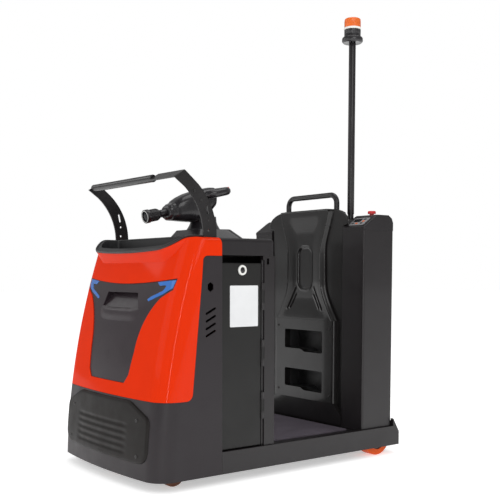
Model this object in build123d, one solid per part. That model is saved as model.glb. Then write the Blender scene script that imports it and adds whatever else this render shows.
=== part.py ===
"""Stand-in electric tow tractor with a moulded nose, a storage bin and a moulded backrest.

Millimetres: +X is the tractor's left, -Y its front, +Z up. The origin lies on the floor at mid length.
"""

import os

from build123d import *

# Overall sizes and clearances
overall_width = 800
overall_length = 1316
half_width = overall_width / 2
front_y = -overall_length / 2
rear_y = overall_length / 2
seam = 0.8
seat = 0.3
fit = 0.05
past = 1
reach = 60
soft_edge = 3

# Chassis
sill_bottom = 40
sill_top = 127
sill_width = 26
plate = 8
floor_drop = 12
floor_top = sill_top - floor_drop
mat_thickness = 6
mat_margin = 1
mat_side = 72
tail_length = 37
tail_rise = 34
tail_knee = 60
nose_length = 326
bay_length = 204
pillar_depth = 58
bay_front_y = front_y + nose_length
bay_rear_y = bay_front_y + bay_length
wall_rear_y = bay_rear_y + pillar_depth

# Moulded nose: height, setback of the front face at mid width, corner radius
shoulder_height = 953
shoulder_round = 28
nose_setback = 6
nose_front_y = front_y + nose_setback
nose_sections = (
    (sill_bottom, 0, 85),
    (340, 24.7, 88),
    (shoulder_height - 303, 82.8, 92),
    (shoulder_height + 7, 174, 96),
)
front_bow = 2655
nose_wall = 6
rim_slope = 0.69
rim_break_y = front_y + 203
rim_round = 70
cowl_bottom = 338
cowl_shelf = shoulder_height - 70
cowl_edge_y = front_y + 188
cowl_edge_lean = 53
cowl_edge_round = 28
cowl_shelf_round = 20
cowl_rear_gap = 2

# Side wing: slanted air slots and a hexagonal access hole
wing_y = front_y + 272
slot_drops = (279, 308, 337, 364)
slot_length = 52
slot_width = 9
slot_lean = 27
access_y = front_y + 271
access_drop = 188
access_half_width = 13
access_half_height = 19

# Front panel: half widths and heights of its outline
panel_low = cowl_bottom + 52
panel_tip = shoulder_height - 156
panel_middle = shoulder_height - 179
panel_crown = shoulder_height - 171
panel_crown_x = half_width - 200
panel_tip_x = half_width - 50
panel_tip_edge = (-8, 44)
panel_wing_x = half_width - 117
panel_wing = shoulder_height - 231
panel_waist_x = half_width - 183
panel_waist_share = 0.62
panel_neck_x = half_width - 220
panel_neck_share = 0.31
panel_foot_x = half_width - 236
panel_foot = panel_low + 34
panel_base_x = half_width - 262
panel_depth = 3
panel_wall = 7

# Hand scoop in the front panel: deep under the brow and running out to a lip below
scoop_low = shoulder_height - 292
scoop_high = shoulder_height - 213
scoop_half_low = 152
scoop_half_high = 122
scoop_depth = 30
scoop_wall = 5

# Marker lights: distance in from the side, drop below the shoulder
marker_outline = (
    (160, 171), (108, 166), (56, 162), (63, 193), (112, 217), (194, 245),
    (203, 237), (186, 228), (116, 203), (102, 186), (108, 183), (142, 185),
)
marker_depth = 3
marker_proud = 1

# Bumper pad
pad_top = cowl_bottom - 7
pad_top_x = half_width - 200
pad_side = cowl_bottom - 60
pad_side_x = half_width - 65
pad_low = sill_bottom + 60
pad_low_side = sill_bottom + 90
pad_low_x = half_width - 100
pad_round = 14
pad_proud = 8
groove_count = 5
groove_first = 40
groove_pitch = 24
groove_half = half_width - 210
groove_width = 10
groove_depth = 3

# Storage bin: height and inset of the tub wall
bin_half_width = half_width - 68
bin_front_y = front_y + 125
bin_back_y = front_y + 280
bin_bow = 2500
bin_corner = 105
bin_back_corner = 12
bin_back_draft = 0.3
bin_floor = shoulder_height - 213
bin_sections = (
    (bin_floor, 44), (shoulder_height - 91, 36), (shoulder_height - 49, 13), (shoulder_height + 12, 13),
)
collar_sections = (
    (shoulder_height - 118, 23), (shoulder_height - 85, 17), (shoulder_height - 49, -3),
    (shoulder_height + 12, -13),
)
bin_wall = 4
rim_thickness = 5
rim_cover = -7

# Rack: distance behind its foot and height above the shoulder
rack_x = half_width - 55
rack_y = front_y + 304
rack_thickness = 6
rack_front_arc = ((-30, seat), (-53, 109), (-114, 189))
rack_front_tip = (-162, 223)
rack_rear_tip = (-114, 251)
rack_rear_arc = ((-58, 205), (8, 117), (31, seat))
rack_bend = 5
rack_bar_y = rack_y - 136
rack_bar_height = shoulder_height + 232
grip_radius = 15
grip_end_x = rack_x - 187
rack_hole_radius = 4.5
rack_hole_y = rack_y - 6
rack_hole_rises = (27, 67)
rack_slot_rise = 106
rack_slot_length = 36
rack_slot_lean = 12

# Dash and battery bay
dash_half_width = half_width - 8
dash_top = shoulder_height
dash_bottom = dash_top - 67
dash_wall = 5
dash_roof = 8
dash_round = 16
dash_overhang = 2
console_top = dash_top + 47
console_round = 25
console_base = ((half_width - 160, -2), (half_width - 280, -192))
console_crown = ((half_width - 240, -27), (half_width - 310, -162))
bulkhead_thickness = 10
pillar_width = 20
pillar_slot = (12, 24)
pillar_slot_drop = 22
battery_side_gap = 50
battery_length = 176
battery_top = dash_bottom - 119
door_face_x = half_width - 12
door_thickness = 12
door_front_gap = 5
door_bottom = sill_top + 4
door_top = dash_bottom - 29
hinge_x = half_width - 11
hinge_y = bay_rear_y - 1.5
hinge_heights = (door_bottom + 159, (door_bottom + door_top) / 2 + 6, door_top - 132)
knuckle_radius = 6.5
knuckle_room = 2
knuckle_length = 50
fixed_knuckle = 28
hinge_leaf = 12
pin_radius = 3
ring_height = door_top - 28
ring_radius = 20
ring_bore = 12
ring_depth = 6

# Tiller head: distance behind the spindle, half width, bottom and top above the console, corner radius
tiller_y = wall_rear_y - 77
spindle_radius = 25
spindle_depth = 20
neck_rise = 50
neck_radii = (72, 55)
head_sections = (
    (-192, 38, 42, 96, 24),
    (-150, 54, 36, 126, 32),
    (-60, 62, 33, 164, 36),
    (37, 54, 96, 186, 28),
)
head_front_round = 8
loop_half_width = 92
loop_rear_y = tiller_y + 91
loop_front_y = tiller_y - 18
loop_radius = 17
loop_bend = 40
loop_height = console_top + 146
loop_tilt = 13
switch_half = 36
switch_height = 30
switch_depth = 12
switch_proud = 8
# Lamp: radius and distance behind the lens
lamp_profile = ((0, 0), (28, 0), (28, 20), (25, 24), (25, 58), (16, 72), (16, 112), (0, 112))
lamp_front_y = tiller_y - 290
lamp_height = console_top + 46
lamp_tilt = 12

# Rear body
tower_outer_x = half_width - 14
tower_width = 133
tower_inner_x = tower_outer_x - tower_width
tower_rear_y = rear_y - tail_length
tower_length = 186
tower_front_y = tower_rear_y - tower_length
tower_wall = 4
tower_round = 10
tower_top = 1008
cap_rise = 69
cap_top = tower_top + cap_rise
# Distance behind the tower's front, height above the tower
cap_profile = (
    (0, 0), (0, 13), (73, 63), (85, cap_rise), (157, cap_rise), (177, 56),
    (tower_length, 36), (tower_length, 0),
)
cap_round = 6
back_proud = 12
back_plate_drop = 10
back_thickness = 12
back_front_y = tower_front_y - back_proud
back_plate_y = tower_front_y + back_plate_drop
back_rear_y = back_plate_y + back_thickness
back_split = 600
back_half_width = tower_inner_x - seat
back_top = tower_top + 104
back_shoulder_drop = 78
back_shoulder_x = 112
back_shoulder_round = 60
back_seam = 0.5
# Hourglass ridge: distance in from the tower, share of the backrest's height
ridge_foot = (47, 0)
ridge_low = (99, 0.2)
ridge_waist_low = (131, 0.37)
ridge_waist_high = (131, 0.65)
ridge_high = (115, 0.8)
ridge_head = (88, 0.91)
ridge_round = 9
oblong_half_width = 48
oblong_shares = (0.28, 0.66)
oblong_round = 34
oblong_depth = 5
# Ribs under the oblong: upper and lower end
rib_ends = (((63, 0.227), (102, 0.106)), ((65, 0.291), (122, 0.098)))
rib_width = 9
rib_proud = 3
locker_half_width = tower_inner_x - 43
locker_bottom = 222
locker_round = 10
kick_set = 13
kick_height = 170
pocket_half_width = locker_half_width - 76
pocket_rises = ((52, 139), (236, 327))
pocket_step = 12
pocket_step_x = (-20, 8)
pocket_round = 8
pocket_depth = 92
tray_wall = 3
rear_wall_y = tower_rear_y - 60
rear_deck = tower_top + 37
rear_panel_margin = 40
rear_panel_depth = 2
handle_half_width = tower_inner_x - 83
handle_y = tower_front_y + 39
handle_rise = 132
handle_radius = 12.5
handle_bend = 40
mast_x = tower_inner_x - 42
mast_y = tower_front_y + 88
mast_top = rear_deck + 811
mast_radius = 13.5
mast_foot = (32, 8)
# Beacon: radius and height of each step above the mast
flange = (47, 24)
flange_round = 6
lamp_base = (37, 64)
collar = (38.5, 74)
lens = (37, 124)
lens_round = 14
stop_x = (tower_inner_x + tower_outer_x) / 2
stop_y = tower_rear_y - 72
stop_stem = (10, 8)
stop_head = (18, 20)
stop_round = 5

# Wheels
drive_y = front_y + 191
drive_radius = 115
drive_hub_radius = 85
drive_width = 70
drive_axle_radius = 20
drive_gap = 6
leg_thickness = 40
leg_half_length = 55
leg_round = 20
turntable_radius = 110
turntable_room = 12
turntable_thickness = 48
deck_bottom = 2 * drive_radius + turntable_room + turntable_thickness
deck_thickness = 10
deck_top = deck_bottom + deck_thickness
deck_side_gap = 60
motor_radius = 75
motor_neck_radius = 55
motor_neck_gap = 10
motor_height = 180
rear_wheel_x = half_width - 55
rear_wheel_y = rear_y - 112
rear_radius = 75
rear_hub_radius = 49
rear_width = 60
wheel_room = 7
axle_radius = 12.5
cheek_thickness = 8
cheek_half_length = 40
tyre_round = 5
hub_set = 4
dish_depth = 7
dish_rim = 8
castor_x = half_width - 100
castor_pivot_y = front_y + 136
castor_trail = 25
castor_radius = 50
castor_width = 32
castor_room = 18
castor_top = 2 * castor_radius + castor_room
castor_block_half = 35
castor_plate_radius = 30
castor_plate = 14
castor_stem_radius = 12
castor_stem = 55
castor_axle_radius = 8
fork_gap = 2
fork_plate = 6
fork_half_length = 14

# Tow hitch
jaw_half_width = 55
jaw_round = 30
jaw_plates = ((232, 246), (296, 310))
jaw_margin = 30
hitch_half_width = 80
hitch_thickness = 12
tow_pin_y = rear_y - 36
tow_pin_radius = 13
tow_pin_drop = 8
pin_collar = (20, 12)
pin_grip = (9, 60)


def block(x, y, z):
    """Box between pairs of limits along each axis."""
    size = Box(x[1] - x[0], y[1] - y[0], z[1] - z[0])
    return Pos((x[0] + x[1]) / 2, (y[0] + y[1]) / 2, (z[0] + z[1]) / 2) * size


def wide_block(half, y, z):
    """Box centred on the tractor's middle plane."""
    return block((-half, half), y, z)


def upright(x, y, z, radius):
    """Vertical cylinder between two heights."""
    return Pos(x, y, (z[0] + z[1]) / 2) * Cylinder(radius, z[1] - z[0])


def crossbar(x, y, z, radius):
    """Cylinder along X between two places."""
    return Pos((x[0] + x[1]) / 2, y, z) * Rot(0, 90, 0) * Cylinder(radius, x[1] - x[0])


def outline(points):
    """Flat face inside a closed run of straight lines."""
    return make_face(Polyline(*points, close=True))


def side_prism(face, half=half_width + reach):
    """Prism along X of a face drawn in the side view as (y, height)."""
    return extrude(Plane.YZ * face, half, both=True)


def front_prism(face, y):
    """Prism along Y between two places of a face drawn in the front view as (x, height)."""
    return Pos(0, y[1], 0) * extrude(Plane.XZ * face, y[1] - y[0])


def both_halves(points):
    """Whole outline from the points of its left half."""
    return outline(list(points) + [(-x, z) for x, z in reversed(points) if x > 0])


def mirrored_face(edges):
    """Whole face from the edges of its left half."""
    return make_face(list(edges) + [mirror(edge, about=Plane.YZ) for edge in edges])


def near_vertex(face, x, y):
    """Corner of a flat face that lies nearest to a point."""
    return face.vertices().sort_by_distance((x, y, 0))[0]


def other_side(shape):
    """The same shape on the tractor's right."""
    return mirror(shape, about=Plane.YZ)


def between(low, high, share):
    """Value at a share of the way from low to high."""
    return low + (high - low) * share


def nose_form(inset):
    """Solid shape of the nose, drawn in from the outer skin by the inset, with round shoulders."""
    sections = []
    for height, setback, corner in nose_sections:
        half = half_width - inset
        middle = nose_front_y + setback + inset
        side = middle + half ** 2 / (2 * front_bow)
        rear = bay_front_y - seam
        bow = ThreePointArc((-half, side), (0, middle), (half, side))
        back = Polyline((half, side), (half, rear), (-half, rear), (-half, side))
        face = make_face([bow] + list(back.edges()))
        corners = face.vertices().sort_by(Axis.Y)[:2]
        sections.append(Pos(0, 0, height) * fillet(corners, corner - inset))
    top = shoulder_height - inset
    half = half_width - inset
    round_top = both_halves(((0, sill_bottom), (half, sill_bottom), (half, top), (0, top)))
    shoulders = [corner for corner in round_top.vertices() if corner.Y > sill_bottom and corner.X ** 2 > past]
    round_top = fillet(shoulders, shoulder_round - inset)
    return loft(sections) & front_prism(round_top, (front_y - reach, bay_front_y))


def bin_face(inset):
    """Plan of the bin mouth, drawn in by the inset."""
    half = bin_half_width - inset
    middle = bin_front_y + inset
    side = middle + half ** 2 / (2 * bin_bow)
    bow = ThreePointArc((-half, side), (0, middle), (half, side))
    rear = bin_back_y - inset * bin_back_draft
    back = Polyline((half, side), (half, rear), (-half, rear), (-half, side))
    face = make_face([bow] + list(back.edges()))
    face = fillet(face.vertices().sort_by(Axis.Y)[:2], bin_corner - inset)
    return fillet(face.vertices().sort_by(Axis.Y)[-2:], bin_back_corner)


def bin_form(inset):
    """Tub of straight-sided steps between the sections, drawn in further by the inset."""
    steps = []
    for (low, low_inset), (high, high_inset) in zip(bin_sections, bin_sections[1:]):
        low_face = Pos(0, 0, low) * bin_face(low_inset + inset)
        high_face = Pos(0, 0, high) * bin_face(high_inset + inset)
        steps.append(loft([low_face, high_face], ruled=True))
    return Part() + steps


def collar_form():
    """Neck of the cowl, flaring out to the rim of the bin."""
    return loft([Pos(0, 0, height) * bin_face(inset) for height, inset in collar_sections])


def below_rim(lift):
    """All space under the rim line, which falls from the shoulders to the front of the bin."""
    high = shoulder_height + lift
    front = front_y - reach
    low = high - rim_slope * (rim_break_y - front)
    rear = wall_rear_y
    face = outline(((front, 0), (front, low), (rim_break_y, high), (rear, high), (rear, 0)))
    return side_prism(fillet(near_vertex(face, rim_break_y, high), rim_round))


def cowl_region(gap):
    """Part of the nose that the painted cowl covers, drawn back by the gap."""
    low = cowl_bottom + gap
    shelf = cowl_shelf + gap
    edge_low = cowl_edge_y - gap
    edge_high = cowl_edge_y + cowl_edge_lean - gap
    front = front_y - reach
    rear = bay_front_y - cowl_rear_gap
    top = shoulder_height + reach
    points = ((front, low), (edge_low, low), (edge_high, shelf), (rear, shelf), (rear, top), (front, top))
    face = outline(points)
    face = fillet(near_vertex(face, edge_low, low), cowl_edge_round)
    face = fillet(near_vertex(face, edge_high, shelf), cowl_shelf_round)
    return side_prism(face)


def panel_face():
    """Outline of the front panel: a brow with two raised wings above a tapering body."""
    waist = between(panel_low, panel_tip, panel_waist_share)
    neck = between(panel_low, panel_tip, panel_neck_share)
    lower_tip = (panel_tip_x + panel_tip_edge[0], panel_tip - panel_tip_edge[1])
    return mirrored_face((
        ThreePointArc((0, panel_middle), (panel_crown_x, panel_crown), (panel_tip_x, panel_tip)),
        Line((panel_tip_x, panel_tip), lower_tip),
        Line(lower_tip, (panel_wing_x, panel_wing)),
        ThreePointArc((panel_wing_x, panel_wing), (panel_waist_x, waist), (panel_neck_x, neck)),
        Line((panel_neck_x, neck), (panel_foot_x, panel_foot)),
        Line((panel_foot_x, panel_foot), (panel_base_x, panel_low)),
        Line((panel_base_x, panel_low), (0, panel_low)),
    ))


def marker_face(side):
    """Outline of one marker light."""
    points = [(side * (half_width - inward), shoulder_height - drop) for inward, drop in marker_outline]
    return outline(points)


def front_at(height):
    """Place of the nose's front face at mid width."""
    for (low, low_back, _), (high, high_back, _) in zip(nose_sections, nose_sections[1:]):
        if low <= height <= high:
            return nose_front_y + between(low_back, high_back, (height - low) / (high - low))


def scoop_form(grow):
    """Wedge of the hand scoop, deep at its top, grown on all sides."""
    low = scoop_low - grow
    high = scoop_high + grow
    face = both_halves(((0, high), (scoop_half_high + grow, high), (scoop_half_low + grow, low), (0, low)))
    front = front_y - reach
    wedge = outline(((front, low), (front_at(scoop_low) + panel_depth + grow, low),
                     (front_at(scoop_high) + panel_depth + scoop_depth + grow, high), (front, high)))
    return front_prism(face, nose_zone) & side_prism(wedge)


nose_zone = (front_y - reach, bay_front_y - 2 * reach)
nose_skin = nose_form(0)
nose_core = nose_form(nose_wall)
panel_front = nose_form(panel_depth)
panel_back = nose_form(panel_depth + panel_wall)


def make_nose_cowl():
    shell = (nose_skin + collar_form()) & below_rim(0) & cowl_region(0)
    shell = shell - (nose_core & below_rim(-nose_wall))
    shell = shell - bin_form(-seat)
    return shell - front_prism(panel_face(), nose_zone)


def make_front_skirt():
    shell = nose_skin - nose_core
    shell = shell - cowl_region(-seam)
    shell = shell & wide_block(half_width + past, (front_y - past, 0), (sill_bottom, cowl_shelf))
    for drop in slot_drops:
        slot = Rot(0, 0, slot_lean) * SlotOverall(slot_length, slot_width)
        shell = shell - side_prism(Pos(wing_y, shoulder_height - drop) * slot)
    y, z = access_half_width, access_half_height
    hole = outline(((0, -z), (y, -z / 2), (y, z / 2), (0, z), (-y, z / 2), (-y, -z / 2)))
    return shell - side_prism(Pos(access_y, shoulder_height - access_drop) * hole)


def make_nose_panel():
    face = offset(panel_face(), -seam)
    panel = (panel_front - panel_back) & front_prism(face, nose_zone)
    panel = panel + (scoop_form(scoop_wall) & panel_front)
    panel = panel - scoop_form(0)
    floor = nose_form(panel_depth + marker_depth)
    for side in (1, -1):
        panel = panel - (front_prism(marker_face(side), nose_zone) - floor)
    return panel


def make_marker_lights():
    shell = nose_form(panel_depth - marker_proud) - nose_form(panel_depth + marker_depth - seat)
    strips = [shell & front_prism(offset(marker_face(side), -seat), nose_zone) for side in (1, -1)]
    return Part() + strips


def make_bumper_pad():
    shell = nose_form(-pad_proud) - nose_form(-seat)
    face = both_halves(((0, pad_top), (pad_top_x, pad_top), (pad_side_x, pad_side),
                        (pad_side_x, pad_low_side), (pad_low_x, pad_low), (0, pad_low)))
    rounded = face.vertices().filter_by(lambda corner: abs(corner.X) > past)
    pad = shell & front_prism(fillet(rounded, pad_round), nose_zone)
    floor = nose_form(groove_depth - pad_proud)
    for row in range(groove_count):
        height = pad_low + groove_first + row * groove_pitch
        groove = front_prism(Pos(0, height) * SlotOverall(2 * groove_half, groove_width), nose_zone)
        pad = pad - (groove - floor)
    return pad


def make_storage_bin():
    tub = bin_form(0) & below_rim(seat + past)
    rim_plan = Pos(0, 0, bin_floor) * extrude(bin_face(rim_cover), shoulder_height)
    rim = rim_plan & (below_rim(rim_thickness) - below_rim(seat))
    hollow = bin_form(bin_wall) - wide_block(half_width, (front_y, 0), (0, bin_floor + bin_wall))
    return tub + rim - hollow


def rack_place(point):
    """Point of the rack's side view."""
    return rack_y + point[0], dash_top + point[1]


def rack_tab():
    """Flat strip that the strap's bent top end makes, in the side view."""
    front = Vector(*rack_place(rack_front_tip))
    rear = Vector(*rack_place(rack_rear_tip))
    inward = (rear - front).normalized().rotate(Axis.Z, -90) * rack_thickness
    return outline([(point.X, point.Y) for point in (front, rear, rear + inward, front + inward)])


def make_rack_bars():
    front_arc = [rack_place(point) for point in rack_front_arc]
    rear_arc = [rack_place(point) for point in rack_rear_arc]
    face = make_face((
        ThreePointArc(*front_arc),
        Line(front_arc[-1], rack_place(rack_front_tip)),
        Line(rack_place(rack_front_tip), rack_place(rack_rear_tip)),
        Line(rack_place(rack_rear_tip), rear_arc[0]),
        ThreePointArc(*rear_arc),
        Line(rear_arc[-1], front_arc[0]),
    ))
    slot = Rot(0, 0, 90 + rack_slot_lean) * SlotOverall(rack_slot_length, 2 * rack_hole_radius)
    face = face - Pos(rack_hole_y - rack_slot_lean / 2, dash_top + rack_slot_rise) * slot
    for rise in rack_hole_rises:
        face = face - Pos(rack_hole_y, dash_top + rise) * Circle(rack_hole_radius)
    inner_x = rack_x - rack_thickness / 2
    bar = extrude(Plane.YZ.offset(inner_x) * face, rack_thickness)
    tab = extrude(Plane.YZ.offset(grip_end_x) * rack_tab(), rack_x + rack_thickness / 2 - grip_end_x)
    bent = bar + tab
    bend = bent.edges().filter_by(GeomType.LINE).sort_by(Axis.Z)
    bend = bend.filter_by(lambda edge: abs(edge.center().X - rack_x - rack_thickness / 2) < fit)[-1]
    return Part() + [fillet(bend, rack_bend), other_side(bar)]


def make_rack_grip():
    end = rack_x - rack_thickness / 2
    grip = crossbar((-end, grip_end_x), rack_bar_y, rack_bar_height, grip_radius)
    return fillet(grip.edges().sort_by(Axis.X)[-1], soft_edge)


def make_chassis_frame():
    pan = wide_block(half_width, (bay_front_y, tower_rear_y), (sill_bottom, sill_top))
    tail = outline(((tower_rear_y, sill_bottom), (rear_y, sill_bottom), (rear_y, sill_bottom + tail_knee),
                    (tower_rear_y, sill_top + tail_rise)))
    pan = pan + side_prism(tail, half_width)
    pan = pan - wide_block(half_width - plate, (bay_front_y + plate, rear_y - plate), (0, floor_top - plate))
    trough = (floor_top, sill_top + past)
    pan = pan - wide_block(half_width - sill_width, (wall_rear_y, tower_front_y), trough)
    pan = pan - wide_block(tower_inner_x, (tower_front_y - past, back_rear_y), trough)
    room = rear_radius + wheel_room
    half = rear_width / 2 + wheel_room
    well = block((rear_wheel_x - half, rear_wheel_x + half + past),
                 (rear_wheel_y - room, rear_wheel_y + room), (0, sill_top + reach))
    cheek_x = rear_wheel_x - half - wheel_room
    cheek_y = (rear_wheel_y - cheek_half_length, rear_wheel_y + cheek_half_length)
    cheek = block((cheek_x - cheek_thickness, cheek_x), cheek_y, (sill_bottom, floor_top))
    pan = pan - well - other_side(well) + cheek + other_side(cheek)
    wall_half = half_width - nose_wall - 2 * cowl_rear_gap
    wall = wide_block(wall_half, (bay_front_y - plate, bay_front_y), (sill_bottom, dash_bottom - seat))
    deck_y = (front_y + deck_side_gap, bay_front_y)
    deck = wide_block(half_width - deck_side_gap, deck_y, (deck_bottom, deck_top))
    frame = pan + wall + deck - upright(0, drive_y, (deck_bottom - past, deck_top + past),
                                        motor_neck_radius + motor_neck_gap)
    half = castor_block_half
    for x in (castor_x, -castor_x):
        frame = frame + block((x - half, x + half), (castor_pivot_y - half, castor_pivot_y + half),
                              (castor_top + seat, deck_bottom))
        socket = (castor_top - past, castor_top + castor_stem + plate)
        frame = frame - upright(x, castor_pivot_y, socket, castor_stem_radius + fit)
    return frame


def make_bay_bulkhead():
    half = dash_half_width
    rise = (sill_top, dash_bottom - seat)
    wall = wide_block(half, (wall_rear_y - bulkhead_thickness, wall_rear_y), rise)
    pillar = block((half - pillar_width, half), (bay_rear_y, wall_rear_y), rise)
    recess = (sill_top, door_top + hinge_leaf)
    pillar = pillar - upright(hinge_x, hinge_y, recess, knuckle_radius + knuckle_room)
    slot_y = (bay_rear_y + wall_rear_y - bulkhead_thickness) / 2
    slot_z = dash_bottom - pillar_slot_drop
    pillar = pillar - block((half - pillar_width - past, half + past),
                            (slot_y - pillar_slot[0] / 2, slot_y + pillar_slot[0] / 2),
                            (slot_z - pillar_slot[1] / 2, slot_z + pillar_slot[1] / 2))
    length = knuckle_length / 2 + fixed_knuckle
    for height in hinge_heights:
        pillar = pillar + upright(hinge_x, hinge_y, (height - length, height + length), pin_radius)
        for low in (height - length, height + knuckle_length / 2 + fit):
            run = (low, low + fixed_knuckle - fit)
            pillar = pillar + upright(hinge_x, hinge_y, run, knuckle_radius)
            pillar = pillar + block((hinge_x - pin_radius, half), (hinge_y, hinge_y + hinge_leaf), run)
    return wall + pillar + other_side(pillar)


def make_battery_door():
    door = block((door_face_x - door_thickness, door_face_x),
                 (bay_front_y + door_front_gap, hinge_y - knuckle_radius - past), (door_bottom, door_top))
    door = fillet(door.edges().filter_by(Axis.Y).sort_by(Axis.X)[-2:], soft_edge)
    for height in hinge_heights:
        run = (height - knuckle_length / 2, height + knuckle_length / 2)
        door = door + upright(hinge_x, hinge_y, run, knuckle_radius)
        door = door + block((hinge_x - knuckle_radius, door_face_x), (hinge_y - hinge_leaf, hinge_y), run)
        door = door - upright(hinge_x, hinge_y, (run[0] - past, run[1] + past), pin_radius + fit)
    return door


def make_door_ring():
    y = (bay_front_y + bay_rear_y) / 2
    ring = crossbar((door_face_x, door_face_x + ring_depth), y, ring_height, ring_radius)
    ring = fillet(ring.edges().sort_by(Axis.X)[-1], soft_edge)
    return ring - crossbar((door_face_x - past, door_face_x + ring_depth + past), y, ring_height, ring_bore)


def make_battery():
    middle = (bay_front_y + wall_rear_y - bulkhead_thickness) / 2
    return wide_block(half_width - battery_side_gap,
                      (middle - battery_length / 2, middle + battery_length / 2), (sill_top, battery_top))


def make_dash_cover():
    rear = wall_rear_y + dash_overhang
    cover = wide_block(dash_half_width, (bay_front_y + seam, rear), (dash_bottom, dash_top))
    edges = cover.edges().group_by(Axis.Z)[-1]
    uprights = cover.edges().filter_by(Axis.Z).sort_by(Axis.Y)[-2:]
    rounded = edges.filter_by(Axis.Y) + edges.filter_by(Axis.X).sort_by(Axis.Y)[-1:] + uprights
    cover = fillet(rounded, dash_round)
    inner = wide_block(dash_half_width - dash_wall, (bay_front_y + dash_wall, rear - dash_round),
                       (dash_bottom - past, dash_top - dash_roof))
    return cover - inner - upright(0, tiller_y, (dash_bottom, dash_top + past), spindle_radius + fit)


def make_steering_console():
    faces = []
    for height, points in ((dash_top, console_base), (console_top, console_crown)):
        face = both_halves([(x, wall_rear_y + y) for x, y in points])
        faces.append(Pos(0, 0, height) * fillet(face.vertices(), console_round))
    console = loft(faces, ruled=True)
    return console - upright(0, tiller_y, (dash_top - past, console_top + past), spindle_radius + fit)


def make_tiller_head():
    sections = []
    for behind, half, low, high, corner in head_sections:
        middle = (0, tiller_y + behind, console_top + (low + high) / 2)
        plane = Plane(origin=middle, x_dir=(1, 0, 0), z_dir=(0, 1, 0))
        sections.append(plane * RectangleRounded(2 * half, high - low, corner))
    head = loft(sections)
    head = fillet(head.faces().sort_by(Axis.Y)[0].edges(), head_front_round)
    low = console_top + past
    high = console_top + neck_rise
    neck = Pos(0, tiller_y, (low + high) / 2) * Cone(neck_radii[0], neck_radii[1], high - low)
    return head + neck + upright(0, tiller_y, (dash_top - spindle_depth, high), spindle_radius)


def tilted(form):
    """Form of the tiller loop, turned up about the loop's front bar."""
    pivot = Pos(0, loop_front_y, loop_height)
    return pivot * Rot(loop_tilt, 0, 0) * pivot.inverse() * form


def make_tiller_loop():
    half = loop_half_width - loop_radius
    face = outline(((-half, loop_front_y), (-half, loop_rear_y), (half, loop_rear_y), (half, loop_front_y)))
    path = tilted(Pos(0, 0, loop_height) * fillet(face.vertices(), loop_bend).wire())
    start = path.edges().filter_by(GeomType.LINE)[0]
    return sweep(Plane(origin=start @ 0.5, z_dir=start % 0.5) * Circle(loop_radius), path) - tiller_head


def make_tiller_switch():
    rear = loop_rear_y + loop_radius + switch_proud
    pad = wide_block(switch_half, (rear - switch_depth, rear),
                     (loop_height - switch_height / 2, loop_height + switch_height / 2))
    return tilted(fillet(pad.edges().filter_by(Axis.Y), 2 * soft_edge)) - tiller_loop


def make_head_lamp():
    plane = Plane(origin=(0, lamp_front_y, lamp_height), x_dir=(1, 0, 0), z_dir=(0, 0, 1))
    profile = make_face(Polyline(*lamp_profile, close=True))
    lamp = revolve(plane * profile, Axis((0, lamp_front_y, lamp_height), (0, 1, 0)))
    return lamp.rotate(Axis((0, lamp_front_y, lamp_height), (1, 0, 0)), lamp_tilt) - tiller_head


def make_floor_mat():
    half = half_width - sill_width - mat_side
    run = (wall_rear_y + mat_margin, back_front_y - 2 * mat_margin)
    return wide_block(half, run, (floor_top, floor_top + mat_thickness))


def make_tower():
    outer = block((tower_inner_x, tower_outer_x), (tower_front_y, tower_rear_y), (sill_top, tower_top - seat))
    outer = fillet(outer.edges().filter_by(Axis.Z).sort_by(Axis.X)[-2:], tower_round)
    inner = block((tower_inner_x + tower_wall, tower_outer_x - tower_wall),
                  (tower_front_y + tower_wall, tower_rear_y - tower_wall), (0, tower_top - tower_round))
    return outer - inner


def make_tower_cap():
    face = outline([(tower_front_y + behind, tower_top + rise) for behind, rise in cap_profile])
    cap = extrude(Plane.YZ.offset(tower_inner_x) * face, tower_width)
    sides = cap.faces().sort_by(Axis.X)[-1].edges()
    return fillet(sides.filter_by(lambda edge: edge.center().Z > tower_top + past), cap_round)


def back_place(point):
    """Point of the backrest's front view."""
    return tower_inner_x - point[0], between(back_split + back_seam, back_top, point[1])


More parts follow.
